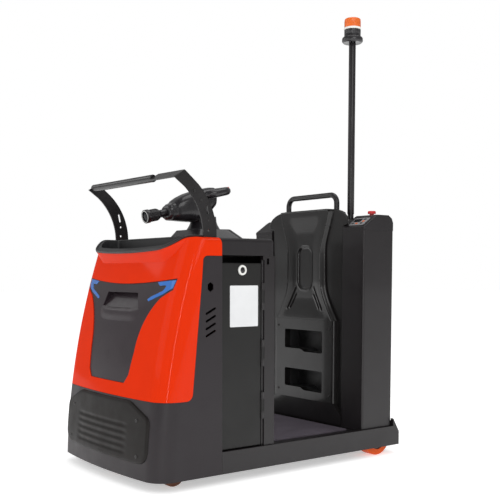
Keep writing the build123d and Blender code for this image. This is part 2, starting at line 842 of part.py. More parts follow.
def make_backrest():
    low = back_split + back_seam
    shoulder_x = back_half_width - back_shoulder_x
    shoulder_z = back_top - back_shoulder_drop
    plate_face = both_halves(((0, low), (back_half_width, low), (back_half_width, shoulder_z),
                              (shoulder_x, back_top), (0, back_top)))
    shoulders = [corner for corner in plate_face.vertices() if corner.Y > low + past and corner.X ** 2 > past]
    plate_face = fillet(shoulders, back_shoulder_round)
    back = front_prism(plate_face, (back_plate_y, back_rear_y))
    head = back_place(ridge_head)
    ridge = mirrored_face((
        Line((0, low), back_place(ridge_foot)),
        ThreePointArc(back_place(ridge_foot), back_place(ridge_low), back_place(ridge_waist_low)),
        Line(back_place(ridge_waist_low), back_place(ridge_waist_high)),
        ThreePointArc(back_place(ridge_waist_high), back_place(ridge_high), head),
        Line(head, (head[0], back_top)),
        Line((head[0], back_top), (0, back_top)),
    ))
    pad = front_prism(ridge, (back_front_y, back_rear_y))
    front_edges = pad.faces().sort_by(Axis.Y)[0].edges()
    pad = fillet(front_edges.filter_by(lambda edge: edge.center().Z > low + past), ridge_round)
    pad = pad & front_prism(plate_face, (back_front_y, back_rear_y))
    oblong_low, oblong_high = [between(low, back_top, share) for share in oblong_shares]
    oblong = RectangleRounded(2 * oblong_half_width, oblong_high - oblong_low, oblong_round)
    oblong = Pos(0, (oblong_low + oblong_high) / 2) * oblong
    back = back + pad - front_prism(oblong, (back_front_y - past, back_front_y + oblong_depth))
    for upper, lower in rib_ends:
        ends = [(x, between(low, back_top, share)) for x, share in (upper, lower)]
        rib = SlotCenterToCenter((Vector(*ends[0]) - Vector(*ends[1])).length, rib_width)
        lean = (Vector(*ends[0]) - Vector(*ends[1])).get_signed_angle(Vector(1, 0, 0), Vector(0, 0, -1))
        centre = (Vector(*ends[0]) + Vector(*ends[1])) / 2
        rib = Pos(centre.X, centre.Y) * Rot(0, 0, lean) * rib
        rib = front_prism(rib, (back_front_y - rib_proud, back_rear_y))
        back = back + rib + other_side(rib)
    return back


def pocket_mouth(rises, grow):
    """Front view of a pocket's mouth, with its lower edge stepped down on the left."""
    low = locker_bottom + rises[0] - grow
    high = locker_bottom + rises[1] + grow
    half = pocket_half_width + grow
    step_start, step_end = pocket_step_x
    return outline(((-half, low), (step_start - grow, low), (step_end - grow, low - pocket_step),
                    (half, low - pocket_step), (half, high), (-half, high)))


def make_locker_panel():
    low = floor_top + seat
    panel = wide_block(back_half_width, (back_plate_y, back_rear_y), (low, back_split))
    face = wide_block(locker_half_width, (back_front_y, back_rear_y), (locker_bottom, back_split))
    panel = panel + fillet(face.edges().filter_by(Axis.Z).sort_by(Axis.Y)[:2], locker_round)
    kick_side = outline(((back_front_y, locker_bottom), (back_front_y + kick_set, low), (back_rear_y, low),
                         (back_rear_y, locker_bottom)))
    kick_front = both_halves(((0, locker_bottom), (locker_half_width, locker_bottom),
                              (back_half_width, kick_height), (back_half_width, low), (0, low)))
    panel = panel + (side_prism(kick_side) & front_prism(kick_front, (back_front_y - past, back_rear_y)))
    for rises in pocket_rises:
        mouth = pocket_mouth(rises, 0)
        mouth = fillet(mouth.vertices(), pocket_round)
        panel = panel - front_prism(mouth, (back_front_y - past, back_rear_y + past))
    return panel


def make_locker_trays():
    trays = []
    back = back_front_y + pocket_depth
    for rises in pocket_rises:
        outer = front_prism(pocket_mouth(rises, tray_wall), (back_rear_y, back))
        trays.append(outer - front_prism(pocket_mouth(rises, 0), (back_rear_y - past, back - tray_wall)))
    return Part() + trays


def make_rear_cover():
    half = tower_inner_x - seat
    top = rear_deck + plate
    wall = wide_block(half, (rear_wall_y, rear_wall_y + plate), (sill_top, top))
    deck = wide_block(half, (back_rear_y + seat, rear_wall_y + plate), (rear_deck, top))
    cover = wall + deck
    cover = fillet(cover.edges().filter_by(Axis.X).group_by(Axis.Y)[-1].sort_by(Axis.Z)[-1], plate - past)
    hitch_top = jaw_plates[1][1] + jaw_margin
    outside = rear_wall_y + plate
    inset = wide_block(half - rear_panel_margin, (outside - rear_panel_depth, outside + past),
                       (hitch_top + rear_panel_margin, top - rear_panel_margin))
    return cover - fillet(inset.edges().filter_by(Axis.Y), rear_panel_margin / 2)


def make_grab_handle():
    foot = rear_deck + plate
    top = rear_deck + handle_rise
    points = ((-handle_half_width, handle_y, foot), (-handle_half_width, handle_y, top),
              (handle_half_width, handle_y, top), (handle_half_width, handle_y, foot))
    path = FilletPolyline(*points, radius=handle_bend)
    return sweep(Plane(origin=points[0], z_dir=(0, 0, 1)) * Circle(handle_radius), path)


def make_beacon_mast():
    foot = rear_deck + plate
    radius, height = mast_foot
    mast = upright(mast_x, mast_y, (foot, mast_top), mast_radius)
    return mast + upright(mast_x, mast_y, (foot, foot + height), radius)


def beacon_step(step, low):
    """Round step of the beacon from a rise above the mast up to its own rise."""
    radius, rise = step
    return upright(mast_x, mast_y, (mast_top + low, mast_top + rise), radius)


def make_beacon_base():
    base = beacon_step(flange, 0)
    return fillet(base.edges(), flange_round) + beacon_step(lamp_base, flange[1] - past)


def make_beacon_lens():
    dome = beacon_step(lens, collar[1])
    return fillet(dome.edges().sort_by(Axis.Z)[-1], lens_round)


def make_emergency_stop():
    stem_radius, stem_rise = stop_stem
    head_radius, head_rise = stop_head
    stem = upright(stop_x, stop_y, (cap_top, cap_top + stem_rise), stem_radius)
    head = upright(stop_x, stop_y, (cap_top + stem_rise - past, cap_top + head_rise), head_radius)
    return stem + fillet(head.edges().sort_by(Axis.Z)[-1], stop_round)


def make_rear_axles():
    inner = rear_wheel_x - rear_width / 2 - 2 * wheel_room
    axle = crossbar((inner, half_width - plate), rear_wheel_y, rear_radius, axle_radius)
    return Part() + [axle, other_side(axle)]


def make_tyre(x, y, radius, hub, width):
    tyre = crossbar((x - width / 2, x + width / 2), y, radius, radius)
    tyre = fillet(tyre.edges(), tyre_round)
    return tyre - crossbar((x - width, x + width), y, radius, hub)


def make_hub(x, y, radius, hub, width, bore):
    half = width / 2 - hub_set
    wheel = crossbar((x - half, x + half), y, radius, hub)
    for side in (1, -1):
        run = sorted((x + side * (half - dish_depth), x + side * (half + past)))
        dish = crossbar(run, y, radius, hub - dish_rim) - crossbar(run, y, radius, bore + dish_rim)
        wheel = wheel - dish
    return wheel - crossbar((x - width, x + width), y, radius, bore)


def make_drive_leg():
    side = drive_width / 2 + drive_gap
    table_low = deck_bottom - turntable_thickness
    table = upright(0, drive_y, (table_low, deck_bottom - seat), turntable_radius)
    leg = block((side, side + leg_thickness), (drive_y - leg_half_length, drive_y + leg_half_length),
                (drive_radius - leg_half_length, table_low + plate))
    leg = fillet(leg.edges().filter_by(Axis.X), leg_round)
    return table + leg + crossbar((-drive_width / 2, side + plate), drive_y, drive_radius, drive_axle_radius)


def make_drive_motor():
    neck = upright(0, drive_y, (deck_bottom - seat, deck_top + plate), motor_neck_radius)
    return neck + upright(0, drive_y, (deck_top + drive_gap, deck_top + motor_height), motor_radius)


def make_castor_fork():
    wheel_y = castor_pivot_y + castor_trail
    low = castor_top - castor_plate
    fork = upright(castor_x, castor_pivot_y, (low, castor_top), castor_plate_radius)
    stem = (castor_top - past, castor_top + castor_stem)
    fork = fork + upright(castor_x, castor_pivot_y, stem, castor_stem_radius)
    inner = castor_width / 2 + fork_gap
    outer = inner + fork_plate
    cheek = block((inner, outer), (castor_pivot_y - fork_half_length, wheel_y + fork_half_length),
                  (castor_radius - fork_half_length, low + fork_plate))
    fork = fork + Pos(castor_x, 0, 0) * cheek + Pos(castor_x, 0, 0) * other_side(cheek)
    crown_y = (castor_pivot_y - fork_half_length, castor_pivot_y + fork_half_length)
    crown = block((castor_x - outer, castor_x + outer), crown_y, (low, castor_top - past))
    axle = crossbar((castor_x - outer, castor_x + outer), wheel_y, castor_radius, castor_axle_radius)
    return fork + crown + axle


def make_castor_wheel():
    wheel_y = castor_pivot_y + castor_trail
    half = castor_width / 2
    wheel = crossbar((castor_x - half, castor_x + half), wheel_y, castor_radius, castor_radius)
    wheel = fillet(wheel.edges(), tyre_round)
    bore = (castor_x - castor_width, castor_x + castor_width)
    return wheel - crossbar(bore, wheel_y, castor_radius, castor_axle_radius + fit)


def make_tow_hitch():
    wall = rear_wall_y + plate
    low = jaw_plates[0][0] - jaw_margin
    high = jaw_plates[1][1] + jaw_margin
    hitch = wide_block(hitch_half_width, (wall, wall + hitch_thickness), (low, high))
    for plate_low, plate_high in jaw_plates:
        jaw = wide_block(jaw_half_width, (wall + past, rear_y), (plate_low, plate_high))
        hitch = hitch + fillet(jaw.edges().filter_by(Axis.Z).sort_by(Axis.Y)[-2:], jaw_round)
    return hitch - upright(0, tow_pin_y, (low, high), tow_pin_radius + fit)


def make_tow_pin():
    top = jaw_plates[1][1] + seat
    pin = upright(0, tow_pin_y, (jaw_plates[0][0] - tow_pin_drop, top + past), tow_pin_radius)
    for radius, rise in (pin_collar, pin_grip):
        pin = pin + upright(0, tow_pin_y, (top, top + rise), radius)
    return pin


tiller_head = make_tiller_head()
tiller_loop = make_tiller_loop()
door_left = make_battery_door()
ring_left = make_door_ring()
tower_left = make_tower()
cap_left = make_tower_cap()
fork_left = make_castor_fork()
castor_left = make_castor_wheel()
rear_tyre_left = make_tyre(rear_wheel_x, rear_wheel_y, rear_radius, rear_hub_radius, rear_width)
rear_bore = axle_radius + fit
rear_hub_left = make_hub(rear_wheel_x, rear_wheel_y, rear_radius, rear_hub_radius, rear_width, rear_bore)

parts = {
    "chassis_frame": make_chassis_frame(),
    "floor_mat": make_floor_mat(),
    "front_skirt": make_front_skirt(),
    "bumper_pad": make_bumper_pad(),
    "nose_cowl": make_nose_cowl(),
    "nose_panel": make_nose_panel(),
    "marker_lights": make_marker_lights(),
    "storage_bin": make_storage_bin(),
    "rack_bars": make_rack_bars(),
    "rack_grip": make_rack_grip(),
    "bay_bulkhead": make_bay_bulkhead(),
    "battery": make_battery(),
    "battery_door_left": door_left,
    "battery_door_right": other_side(door_left),
    "door_ring_left": ring_left,
    "door_ring_right": other_side(ring_left),
    "dash_cover": make_dash_cover(),
    "steering_console": make_steering_console(),
    "tiller_head": tiller_head,
    "tiller_loop": tiller_loop,
    "tiller_switch": make_tiller_switch(),
    "head_lamp": make_head_lamp(),
    "tower_left": tower_left,
    "tower_right": other_side(tower_left),
    "tower_cap_left": cap_left,
    "tower_cap_right": other_side(cap_left),
    "backrest": make_backrest(),
    "locker_panel": make_locker_panel(),
    "locker_trays": make_locker_trays(),
    "rear_cover": make_rear_cover(),
    "grab_handle": make_grab_handle(),
    "beacon_mast": make_beacon_mast(),
    "beacon_base": make_beacon_base(),
    "beacon_collar": beacon_step(collar, lamp_base[1]),
    "beacon_lens": make_beacon_lens(),
    "emergency_stop": make_emergency_stop(),
    "rear_axles": make_rear_axles(),
    "rear_tyre_left": rear_tyre_left,
    "rear_tyre_right": other_side(rear_tyre_left),
    "rear_hub_left": rear_hub_left,
    "rear_hub_right": other_side(rear_hub_left),
    "drive_leg": make_drive_leg(),
    "drive_motor": make_drive_motor(),
    "drive_tyre": make_tyre(0, drive_y, drive_radius, drive_hub_radius, drive_width),
    "drive_hub": make_hub(0, drive_y, drive_radius, drive_hub_radius, drive_width, drive_axle_radius + fit),
    "castor_fork_left": fork_left,
    "castor_fork_right": other_side(fork_left),
    "castor_wheel_left": castor_left,
    "castor_wheel_right": other_side(castor_left),
    "tow_hitch": make_tow_hitch(),
    "tow_pin": make_tow_pin(),
}

os.makedirs("parts", exist_ok=True)
for name, shape in parts.items():
    export_step(shape, os.path.join("parts", name + ".step"))
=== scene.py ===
"""Dresses the stand-in electric tow tractor: finishes, trim, lamps, padding, camera and studio.

Metres throughout. +X is the tractor's left, -Y its front, +Z up.
"""

from __future__ import annotations

import logging
import math
from dataclasses import dataclass
from enum import Enum
from typing import Callable, Iterable, Mapping, Sequence

import bmesh
import bpy
from mathutils import Matrix, Vector
from mathutils.bvhtree import BVHTree

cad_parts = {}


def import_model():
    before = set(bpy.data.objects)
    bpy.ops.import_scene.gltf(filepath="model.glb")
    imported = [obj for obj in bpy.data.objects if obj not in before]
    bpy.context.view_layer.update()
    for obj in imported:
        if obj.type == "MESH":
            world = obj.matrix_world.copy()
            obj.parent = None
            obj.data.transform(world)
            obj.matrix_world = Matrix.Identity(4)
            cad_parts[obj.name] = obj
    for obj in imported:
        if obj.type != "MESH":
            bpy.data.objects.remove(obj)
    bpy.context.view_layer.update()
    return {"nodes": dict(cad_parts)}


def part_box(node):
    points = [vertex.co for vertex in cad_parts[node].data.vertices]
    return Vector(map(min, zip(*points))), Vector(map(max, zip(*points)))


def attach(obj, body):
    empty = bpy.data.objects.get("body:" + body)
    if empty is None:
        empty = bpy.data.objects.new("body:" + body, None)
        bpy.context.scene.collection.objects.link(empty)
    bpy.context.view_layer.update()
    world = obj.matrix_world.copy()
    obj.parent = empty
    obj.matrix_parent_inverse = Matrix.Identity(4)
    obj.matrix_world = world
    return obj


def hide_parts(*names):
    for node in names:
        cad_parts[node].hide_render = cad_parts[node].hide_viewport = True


LOG = logging.getLogger("tow_tractor")
UP = Vector((0, 0, 1))
RELIEF_CREASE = 60.0

# Where rays start, clear of the tractor.
BEFORE_NOSE = -1.0
ABOVE_BIN = 1.2
BESIDE_RACK = 0.5

Colour = tuple[float, float, float]
Point = tuple[float, float, float]
Pair = tuple[float, float]
Nodes = dict[str, bpy.types.Object]
Sockets = Mapping[str, bpy.types.NodeSocket]


class Body(str, Enum):
    """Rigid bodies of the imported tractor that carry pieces."""

    CHASSIS = "chassis"
    DOOR_LEFT = "door_left"
    DOOR_RIGHT = "door_right"
    TILLER = "tiller"
    REAR_LEFT = "rear_wheel_left"
    REAR_RIGHT = "rear_wheel_right"


class Axis(Enum):
    """Directions that a fastener's head can face."""

    LEFT = (1.0, 0.0, 0.0)
    RIGHT = (-1.0, 0.0, 0.0)
    FRONT = (0.0, -1.0, 0.0)
    REAR = (0.0, 1.0, 0.0)
    UP = (0.0, 0.0, 1.0)


class TreeKind(str, Enum):
    """Kinds of shared node tree."""

    SHADER = "ShaderNodeTree"
    GEOMETRY = "GeometryNodeTree"


class Socket(str, Enum):
    """Kinds of socket on the shared node trees."""

    FLOAT = "NodeSocketFloat"
    INTEGER = "NodeSocketInt"
    VECTOR = "NodeSocketVector"
    GEOMETRY = "NodeSocketGeometry"
    MATERIAL = "NodeSocketMaterial"


def linear(red: int, green: int, blue: int) -> Colour:
    """Scene-linear colour from display values.

    Args:
        red: Red from 0 to 255.
        green: Green from 0 to 255.
        blue: Blue from 0 to 255.

    Returns:
        The three linear channels.
    """

    def channel(value: int) -> float:
        """One channel on the standard display curve."""
        share = value / 255
        return share / 12.92 if share <= 0.04045 else ((share + 0.055) / 1.055) ** 2.4

    return channel(red), channel(green), channel(blue)


def eased(value: float) -> float:
    """Smooth step from 0 to 1."""
    t = min(1.0, max(0.0, value))
    return t * t * (3 - 2 * t)


@dataclass
class Wiring:
    """Adds nodes to a node tree and links them.

    Attributes:
        tree: The tree.
    """

    tree: bpy.types.NodeTree

    def add(self, kind: str, values: Mapping[str | int, object] | None = None,
            **options: object) -> bpy.types.Node:
        """New node.

        Args:
            kind: The node's type.
            values: A plain value, or a socket to link, for each input by name or place.
            options: The node's own settings, made before its inputs are.

        Returns:
            The node.
        """
        node = self.tree.nodes.new(kind)
        for name, choice in options.items():
            setattr(node, name, choice)
        self.put(node, values or {})
        return node

    def put(self, node: bpy.types.Node, values: Mapping[str | int, object]) -> None:
        """Sets or links inputs of a node.

        Args:
            node: The node.
            values: A plain value, or a socket to link, for each input by name or place.
        """
        for key, value in values.items():
            if isinstance(value, bpy.types.NodeSocket):
                self.tree.links.new(value, node.inputs[key])
            else:
                node.inputs[key].default_value = value

    def product(self, first: bpy.types.NodeSocket, second: bpy.types.NodeSocket | float) -> bpy.types.NodeSocket:
        """Product of two values."""
        return self.add("ShaderNodeMath", {0: first, 1: second}, operation="MULTIPLY").outputs[0]

    def spread(self, value: bpy.types.NodeSocket, low: float, high: float, to_low: float = 0.0,
               to_high: float = 1.0) -> bpy.types.NodeSocket:
        """Value mapped from one range to another.

        Args:
            value: The value.
            low: Where its range starts.
            high: Where its range ends.
            to_low: What the start becomes.
            to_high: What the end becomes.

        Returns:
            The mapped value.
        """
        return self.add("ShaderNodeMapRange", {
            "Value": value, "From Min": low, "From Max": high, "To Min": to_low, "To Max": to_high,
        }).outputs["Result"]


def shared_tree(name: str, kind: TreeKind, inputs: Mapping[str, Socket | float], outputs: Mapping[str, Socket],
                fill: Callable[[Wiring, Sockets], Sockets]) -> bpy.types.NodeTree:
    """Node tree with named sockets, built the first time it is asked for.

    Args:
        name: The tree's name.
        kind: The tree's kind.
        inputs: Kind of each input, or the default of a float.
        outputs: Kind of each output.
        fill: Adds the nodes between the given inputs and the outputs that it returns.

    Returns:
        The tree.
    """
    old = bpy.data.node_groups.get(name)
    if old:
        return old
    tree = bpy.data.node_groups.new(name, kind.value)
    for label, given in inputs.items():
        plain = not isinstance(given, Socket)
        socket_type = Socket.FLOAT.value if plain else given.value
        socket = tree.interface.new_socket(label, in_out="INPUT", socket_type=socket_type)
        if plain:
            socket.default_value = given
    for label, given in outputs.items():
        tree.interface.new_socket(label, in_out="OUTPUT", socket_type=given.value)
    wiring = Wiring(tree)
    source = wiring.add("NodeGroupInput")
    wiring.add("NodeGroupOutput", fill(wiring, source.outputs))
    return tree


BEVEL_SAMPLES = 6
BUMP_STRENGTH = 0.6
COAT_ROUGHNESS = 0.08
DRIFT = (0.3, 0.7)
DUST_GREY = linear(150, 146, 140)
DUST_ROUGHNESS = 0.35
ROUGHNESS_SWING = 0.06
SMOOTHEST = 0.02


class NodeGroups:
    """Shader node groups that several finishes share."""

    @staticmethod
    def grain() -> bpy.types.NodeTree:
        """Moulded grain: fine pebbles over a soft unevenness.

        Returns:
            The group.
        """

        def fill(wiring: Wiring, given: Sockets) -> Sockets:
            """Height and tone of the grain.

            Args:
                wiring: The tree's nodes.
                given: The tree's inputs.

            Returns:
                The tree's outputs.
            """
            pebbles = wiring.add("ShaderNodeTexVoronoi", {
                "Vector": given["Vector"], "Scale": given["Scale"], "Smoothness": 0.6,
            }, feature="SMOOTH_F1")
            slow = wiring.add("ShaderNodeTexNoise", {
                "Vector": given["Vector"], "Scale": 14, "Detail": 4,
            }).outputs["Fac"]
            uneven = wiring.product(slow, given["Unevenness"])
            total = wiring.add("ShaderNodeMath", {0: pebbles.outputs["Distance"], 1: uneven}, operation="ADD")
            return {"Height": total.outputs[0], "Tone": slow}

        return shared_tree("Moulded grain", TreeKind.SHADER, {
            "Vector": Socket.VECTOR, "Scale": 900.0, "Unevenness": 0.3,
        }, {"Height": Socket.FLOAT, "Tone": Socket.FLOAT}, fill)

    @staticmethod
    def edge_wear() -> bpy.types.NodeTree:
        """Broken mask of rubbed corners.

        Returns:
            The group.
        """

        def fill(wiring: Wiring, given: Sockets) -> Sockets:
            """Mask where a rounded normal leaves the true one, broken by speckles.

            Args:
                wiring: The tree's nodes.
                given: The tree's inputs.

            Returns:
                The tree's outputs.
            """
            soft = wiring.add("ShaderNodeBevel", {"Radius": 0.0025}, samples=BEVEL_SAMPLES).outputs["Normal"]
            face = wiring.add("ShaderNodeNewGeometry").outputs["Normal"]
            likeness = wiring.add("ShaderNodeVectorMath", {0: soft, 1: face}, operation="DOT_PRODUCT")
            corners = wiring.spread(likeness.outputs["Value"], low=0.95, high=0.8)
            speckle = wiring.add("ShaderNodeTexNoise", {
                "Vector": given["Vector"], "Scale": given["Breakup"], "Detail": 6,
            })
            return {"Mask": wiring.product(corners, wiring.spread(speckle.outputs["Fac"], low=0.48, high=0.66))}

        return shared_tree("Edge wear", TreeKind.SHADER, {"Vector": Socket.VECTOR, "Breakup": 60.0},
                           {"Mask": Socket.FLOAT}, fill)

    @staticmethod
    def dust() -> bpy.types.NodeTree:
        """Mask of dust that settles on faces that look upwards.

        Returns:
            The group.
        """

        def fill(wiring: Wiring, given: Sockets) -> Sockets:
            """Mask of upward faces in patches.

            Args:
                wiring: The tree's nodes.
                given: The tree's inputs.

            Returns:
                The tree's outputs.
            """
            face = wiring.add("ShaderNodeNewGeometry").outputs["Normal"]
            parts = wiring.add("ShaderNodeSeparateXYZ", {"Vector": face})
            upward = wiring.spread(parts.outputs["Z"], low=0.35, high=1.0)
            patches = wiring.add("ShaderNodeTexNoise", {
                "Vector": given["Vector"], "Scale": given["Patchiness"], "Detail": 7, "Roughness": 0.62,
            })
            return {"Mask": wiring.product(upward, wiring.spread(patches.outputs["Fac"], low=0.38, high=0.75))}

        return shared_tree("Settled dust", TreeKind.SHADER, {"Vector": Socket.VECTOR, "Patchiness": 9.0},
                           {"Mask": Socket.FLOAT}, fill)


@dataclass(frozen=True)
class Finish:
    """Surface of a moulded, painted, rubber or metal piece.

    Attributes:
        name: The material's name.
        colour: Linear base colour.
        roughness: Mean roughness.
        metallic: Share of bare metal.
        grain_scale: Grain pebbles a metre.
        grain_height: Height of the grain in metres.
        tone: How much the slow unevenness darkens and lightens the colour.
        wear_colour: Colour of rubbed edges.
        wear: Strength of rubbed edges.
        dust: Strength of settled dust.
        edge: Radius in metres that crisp edges seem rounded to, 0 for none.
        coat: Weight of a clear coat.
        specular: Specular level.
    """

    name: str
    colour: Colour
    roughness: float = 0.5
    metallic: float = 0.0
    grain_scale: float = 900.0
    grain_height: float = 0.00008
    tone: float = 0.12
    wear_colour: Colour = linear(120, 117, 115)
    wear: float = 0.25
    dust: float = 0.1
    edge: float = 0.002
    coat: float = 0.0
    specular: float = 0.5

    def material(self) -> bpy.types.Material:
        """The finish as a material, built once.

        Returns:
            The material.
        """
        old = bpy.data.materials.get(self.name)
        if old:
            return old
        material = bpy.data.materials.new(self.name)
        material.use_nodes = True
        material.diffuse_color = (*self.colour, 1.0)
        wiring = Wiring(material.node_tree)
        place = {"Vector": wiring.add("ShaderNodeTexCoord").outputs["Object"]}
        scaled = place | {"Scale": self.grain_scale}
        grain = wiring.add("ShaderNodeGroup", scaled, node_tree=NodeGroups.grain()).outputs
        rubbed = wiring.add("ShaderNodeGroup", place, node_tree=NodeGroups.edge_wear()).outputs["Mask"]
        settled = wiring.add("ShaderNodeGroup", place, node_tree=NodeGroups.dust()).outputs["Mask"]
        colour = self._tint(wiring, grain["Tone"])
        colour = self._over(wiring, colour, rubbed, self.wear, self.wear_colour)
        colour = self._over(wiring, colour, settled, self.dust, DUST_GREY)
        wiring.put(material.node_tree.nodes["Principled BSDF"], {
            "Base Color": colour,
            "Metallic": self.metallic,
            "Roughness": self._roughness(wiring, grain["Tone"], settled),
            "Specular IOR Level": self.specular,
            "Coat Weight": self.coat,
            "Coat Roughness": COAT_ROUGHNESS,
            "Normal": self._normal(wiring, grain["Height"]),
        })
        return material

    def _tint(self, wiring: Wiring, tone: bpy.types.NodeSocket) -> bpy.types.NodeSocket:
        """Base colour that drifts a little over the surface.

        Args:
            wiring: The material's nodes.
            tone: The slow unevenness.

        Returns:
            The colour.
        """
        darker = (*(c * (1 - self.tone) for c in self.colour), 1)
        lighter = (*(min(1, c * (1 + self.tone)) for c in self.colour), 1)
        values = {"Factor": wiring.spread(tone, *DRIFT), "A": darker, "B": lighter}
        return wiring.add("ShaderNodeMix", values, data_type="RGBA").outputs["Result"]

    @staticmethod
    def _over(wiring: Wiring, below: bpy.types.NodeSocket, mask: bpy.types.NodeSocket, strength: float,
              colour: Colour) -> bpy.types.NodeSocket:
        """A second colour laid over the first where a mask says.

        Args:
            wiring: The material's nodes.
            below: The first colour.
            mask: Where the second colour lies.
            strength: How much of it shows.
            colour: The second colour.

        Returns:
            The new colour.
        """
        if strength <= 0:
            return below
        values = {"Factor": wiring.product(mask, strength), "A": below, "B": (*colour, 1)}
        return wiring.add("ShaderNodeMix", values, data_type="RGBA").outputs["Result"]

    def _roughness(self, wiring: Wiring, tone: bpy.types.NodeSocket,
                   settled: bpy.types.NodeSocket) -> bpy.types.NodeSocket:
        """Roughness that varies with the unevenness and rises under dust.

        Args:
            wiring: The material's nodes.
            tone: The slow unevenness.
            settled: Where dust lies.

        Returns:
            The roughness.
        """
        drift = wiring.spread(tone, *DRIFT, to_low=max(SMOOTHEST, self.roughness - ROUGHNESS_SWING),
                              to_high=min(1.0, self.roughness + ROUGHNESS_SWING))
        values = {0: settled, 1: DUST_ROUGHNESS * self.dust, 2: drift}
        return wiring.add("ShaderNodeMath", values, operation="MULTIPLY_ADD").outputs[0]

    def _normal(self, wiring: Wiring, height: bpy.types.NodeSocket) -> bpy.types.NodeSocket:
        """Normal with soft edges and the grain's bumps.

        Args:
            wiring: The material's nodes.
            height: The grain's height.

        Returns:
            The normal.
        """
        values = {"Strength": BUMP_STRENGTH, "Distance": self.grain_height, "Height": height}
        if self.edge:
            soft = wiring.add("ShaderNodeBevel", {"Radius": self.edge}, samples=BEVEL_SAMPLES)
            values["Normal"] = soft.outputs["Normal"]
        return wiring.add("ShaderNodeBump", values).outputs["Normal"]


@dataclass(frozen=True)
class AreaLight:
    """Soft light aimed at a point.

    Attributes:
        name: The light's name.
        place: Where it stands.
        target: What it faces.
        size: Side of the square, or height of a strip.
        watts: Power.
        strip: Width of a strip that shows only as a highlight, 0 for a square.
    """

    name: str
    place: Point
    target: Point
    size: float
    watts: float
    strip: float = 0.0

    def build(self) -> None:
        """Hangs the light."""
        data = bpy.data.lights.new(self.name, "AREA")
        data.size = self.size
        data.energy = self.watts
        light = bpy.data.objects.new(self.name, data)
        if self.strip:
            data.shape = "RECTANGLE"
            data.size, data.size_y = self.strip, self.size
            light.visible_diffuse = False
        light.location = self.place
        light.rotation_euler = (Vector(self.target) - Vector(self.place)).to_track_quat("-Z", "Y").to_euler()
        bpy.context.scene.collection.objects.link(light)


